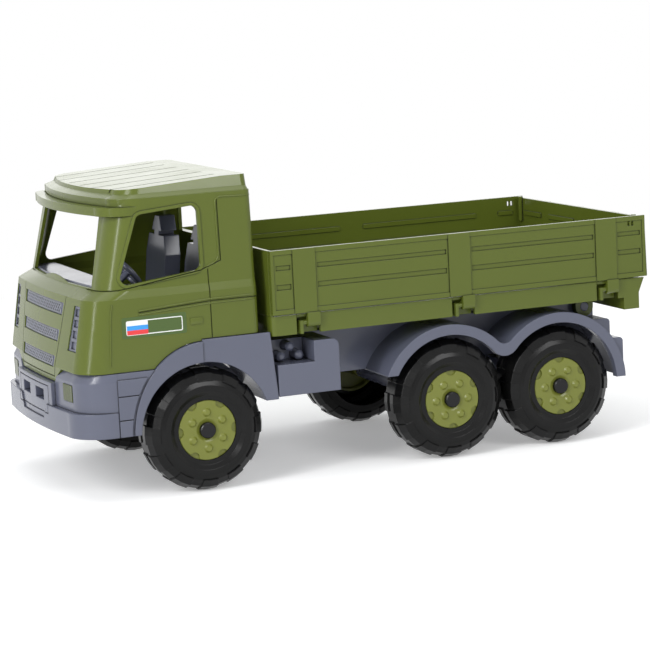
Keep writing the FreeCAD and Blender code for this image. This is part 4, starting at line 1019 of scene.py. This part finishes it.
@dataclass
class Cab:
    """The cab: its shell, its grille, its interior, its beads, labels and door pulls."""

    interior: tuple[str, ...] = ("cab_floor", "dashboard", "steering_wheel", "seats")
    mesh: GrilleMesh = field(default_factory=GrilleMesh)
    label: DoorLabel = field(default_factory=DoorLabel)
    handle: DoorHandle = field(default_factory=DoorHandle)
    beads: CabBeads = field(default_factory=CabBeads)

    def build(self, finishes: Finishes) -> None:
        """Dress the mouldings and model the thin pieces.

        Args:
            finishes: The toy's materials.
        """
        dress(["cab_shell"], finishes["olive"])
        dress(self.interior, finishes["blue_grey"])
        dress(["grille_inserts"], finishes["blue_grey"])
        for piece in (self.mesh, self.label, self.handle, self.beads):
            piece.build(finishes)


@dataclass
class Bed:
    """The tipping bed with its headboard, drop sides and tailgate."""

    nodes: tuple[str, ...] = ("bed_frame", "headboard", "side_board_left", "side_board_right", "tailgate")

    def build(self, finishes: Finishes) -> None:
        """Dress the olive mouldings."""
        dress(self.nodes, finishes["olive"])


# Studio


@dataclass(frozen=True)
class Softbox:
    """A rectangular area lamp: its place, its width and height in metres, and its power in watts."""

    name: str
    where: Triple
    size: tuple[float, float]
    power: float

    def hang(self, target: Vector) -> None:
        """Hang the lamp so that it faces a place and the camera doesn't see it.

        Args:
            target: The place.
        """
        deselect()
        bpy.ops.object.light_add(type="AREA", location=self.where)
        lamp = bpy.context.object
        lamp.name = self.name
        lamp.data.shape = "RECTANGLE"
        lamp.data.size, lamp.data.size_y = self.size
        lamp.data.energy = self.power
        lamp.visible_camera = False
        lamp.rotation_euler = (target - Vector(self.where)).to_track_quat("-Z", "Y").to_euler()


@dataclass
class Studio:
    """The floor, the lights, the surroundings and the camera, with its angles in radians."""

    lamps: tuple[Softbox, ...] = (
        Softbox("softbox_front", (1.7, 1.1, 1.5), (0.8, 1.0), 19.0),
        Softbox("strip_corner", (1.95, 0.95, 0.85), (0.22, 1.6), 13.0),
        Softbox("softbox_side", (-0.6, 2.2, 1.5), (1.3, 0.5), 16.0),
        Softbox("softbox_top", (0.0, -0.2, 2.3), (2.2, 2.2), 20.0),
        Softbox("softbox_back", (-0.9, -2.2, 0.75), (2.0, 0.8), 4.0),
    )
    floor_size: float = 14.0
    floor_drop: float = 0.05 * MM
    floor_grey: float = 0.92
    floor_roughness: float = 0.9
    shadow_reach: float = 0.42
    white_reach: float = 1.0
    floor_lift: float = 0.3
    room_tint: Triple = (0.96, 0.98, 1.0)
    room_light: float = 0.45
    look: Vector = field(default_factory=lambda: Vector((-4.5 * MM, 0.0, 92.7 * MM)))
    azimuth: float = 0.3858
    elevation: float = 0.1510
    roll: float = -0.0493
    distance: float = 1833.6 * MM
    focal_pixels: float = 2429.6
    picture_pixels: float = 650.0
    sensor: float = 36.0
    clip: tuple[float, float] = (0.05, 60.0)

    def floor(self) -> None:
        """Lay a wide pale floor that fades to white away from the toy and keeps its shadow."""
        deselect()
        bpy.ops.mesh.primitive_plane_add(size=self.floor_size, location=(0, 0, -self.floor_drop))
        ground = bpy.context.object
        ground.name = "studio_floor"
        material = bpy.data.materials.new("pale_floor")
        material.use_nodes = True
        pad = NodePad(material.node_tree)
        shader = material.node_tree.nodes["Principled BSDF"]
        shader.inputs["Base Color"].default_value = (self.floor_grey, self.floor_grey, self.floor_grey, 1)
        shader.inputs["Roughness"].default_value = self.floor_roughness
        seen = self.seen_directly(pad)
        reach = pad.add("ShaderNodeVectorMath", operation="LENGTH")
        pad.link(pad.add("ShaderNodeTexCoord").outputs["Object"], reach.inputs[0])
        far = pad.ramp(reach.outputs["Value"], self.shadow_reach, self.white_reach)
        lift = pad.add("ShaderNodeEmission", Color=WHITE)
        pad.link(pad.maths("MULTIPLY", seen, self.floor_lift), lift.inputs["Strength"])
        near = pad.add("ShaderNodeAddShader")
        pad.link(shader.outputs[0], near.inputs[0])
        pad.link(lift.outputs[0], near.inputs[1])
        white = pad.add("ShaderNodeEmission", Color=WHITE, Strength=1.0)
        pad.blend(pad.maths("MULTIPLY", seen, far), near, white,
                  material.node_tree.nodes["Material Output"])
        ground.data.materials.append(material)

    def seen_directly(self, pad: NodePad) -> Socket:
        """A mask that is 1 for the camera's rays and for reflected and refracted ones.

        Args:
            pad: The tree to add the nodes to.

        Returns:
            The mask's socket.
        """
        rays = pad.add("ShaderNodeLightPath")
        seen = pad.maths("MAXIMUM", rays.outputs["Is Camera Ray"], rays.outputs["Is Transmission Ray"])
        return pad.maths("MAXIMUM", seen, rays.outputs["Is Glossy Ray"])

    def surroundings(self) -> None:
        """A grey room for light and a white one for the camera and for reflections."""
        world = bpy.data.worlds.new("studio_world")
        bpy.context.scene.world = world
        world.use_nodes = True
        pad = NodePad(world.node_tree)
        world.node_tree.nodes.clear()
        room = pad.add("ShaderNodeBackground", Color=(*self.room_tint, 1), Strength=self.room_light)
        white = pad.add("ShaderNodeBackground", Color=WHITE, Strength=1.0)
        pad.blend(self.seen_directly(pad), room, white, pad.add("ShaderNodeOutputWorld"))

    def camera(self) -> None:
        """Set the camera where the photograph was taken from."""
        back = Vector((math.sin(self.azimuth) * math.cos(self.elevation),
                       math.cos(self.azimuth) * math.cos(self.elevation), math.sin(self.elevation)))
        level = (-back).cross(Vector((0, 0, 1))).normalized()
        upright = level.cross(-back)
        right = level * math.cos(self.roll) + upright * math.sin(self.roll)
        up = upright * math.cos(self.roll) - level * math.sin(self.roll)
        turn = Matrix((right, up, back)).transposed().to_4x4()
        deselect()
        bpy.ops.object.camera_add()
        viewer = bpy.context.object
        viewer.data.sensor_width = self.sensor
        viewer.data.lens = self.focal_pixels / self.picture_pixels * self.sensor
        viewer.data.clip_start, viewer.data.clip_end = self.clip
        viewer.matrix_world = Matrix.Translation(self.look + back * self.distance) @ turn
        bpy.context.scene.camera = viewer

    def build(self) -> None:
        """Set up the whole studio."""
        self.floor()
        self.surroundings()
        for lamp in self.lamps:
            lamp.hang(self.look)
        self.camera()
        bpy.context.scene.view_settings.view_transform = "Standard"


def write_sizes() -> None:
    """Log a line; no boxes are computed or written.
    """
    LOG.info("boxes written")


def main() -> None:
    """Build every sub-assembly in order."""
    finishes = Finishes()
    for assembly in (Wheels(), Underbody(), Cab(), Bed()):
        assembly.build(finishes)
        LOG.info("%s done", type(assembly).__name__)
    Studio().build()
    write_sizes()


if __name__ == "__main__":
    main()
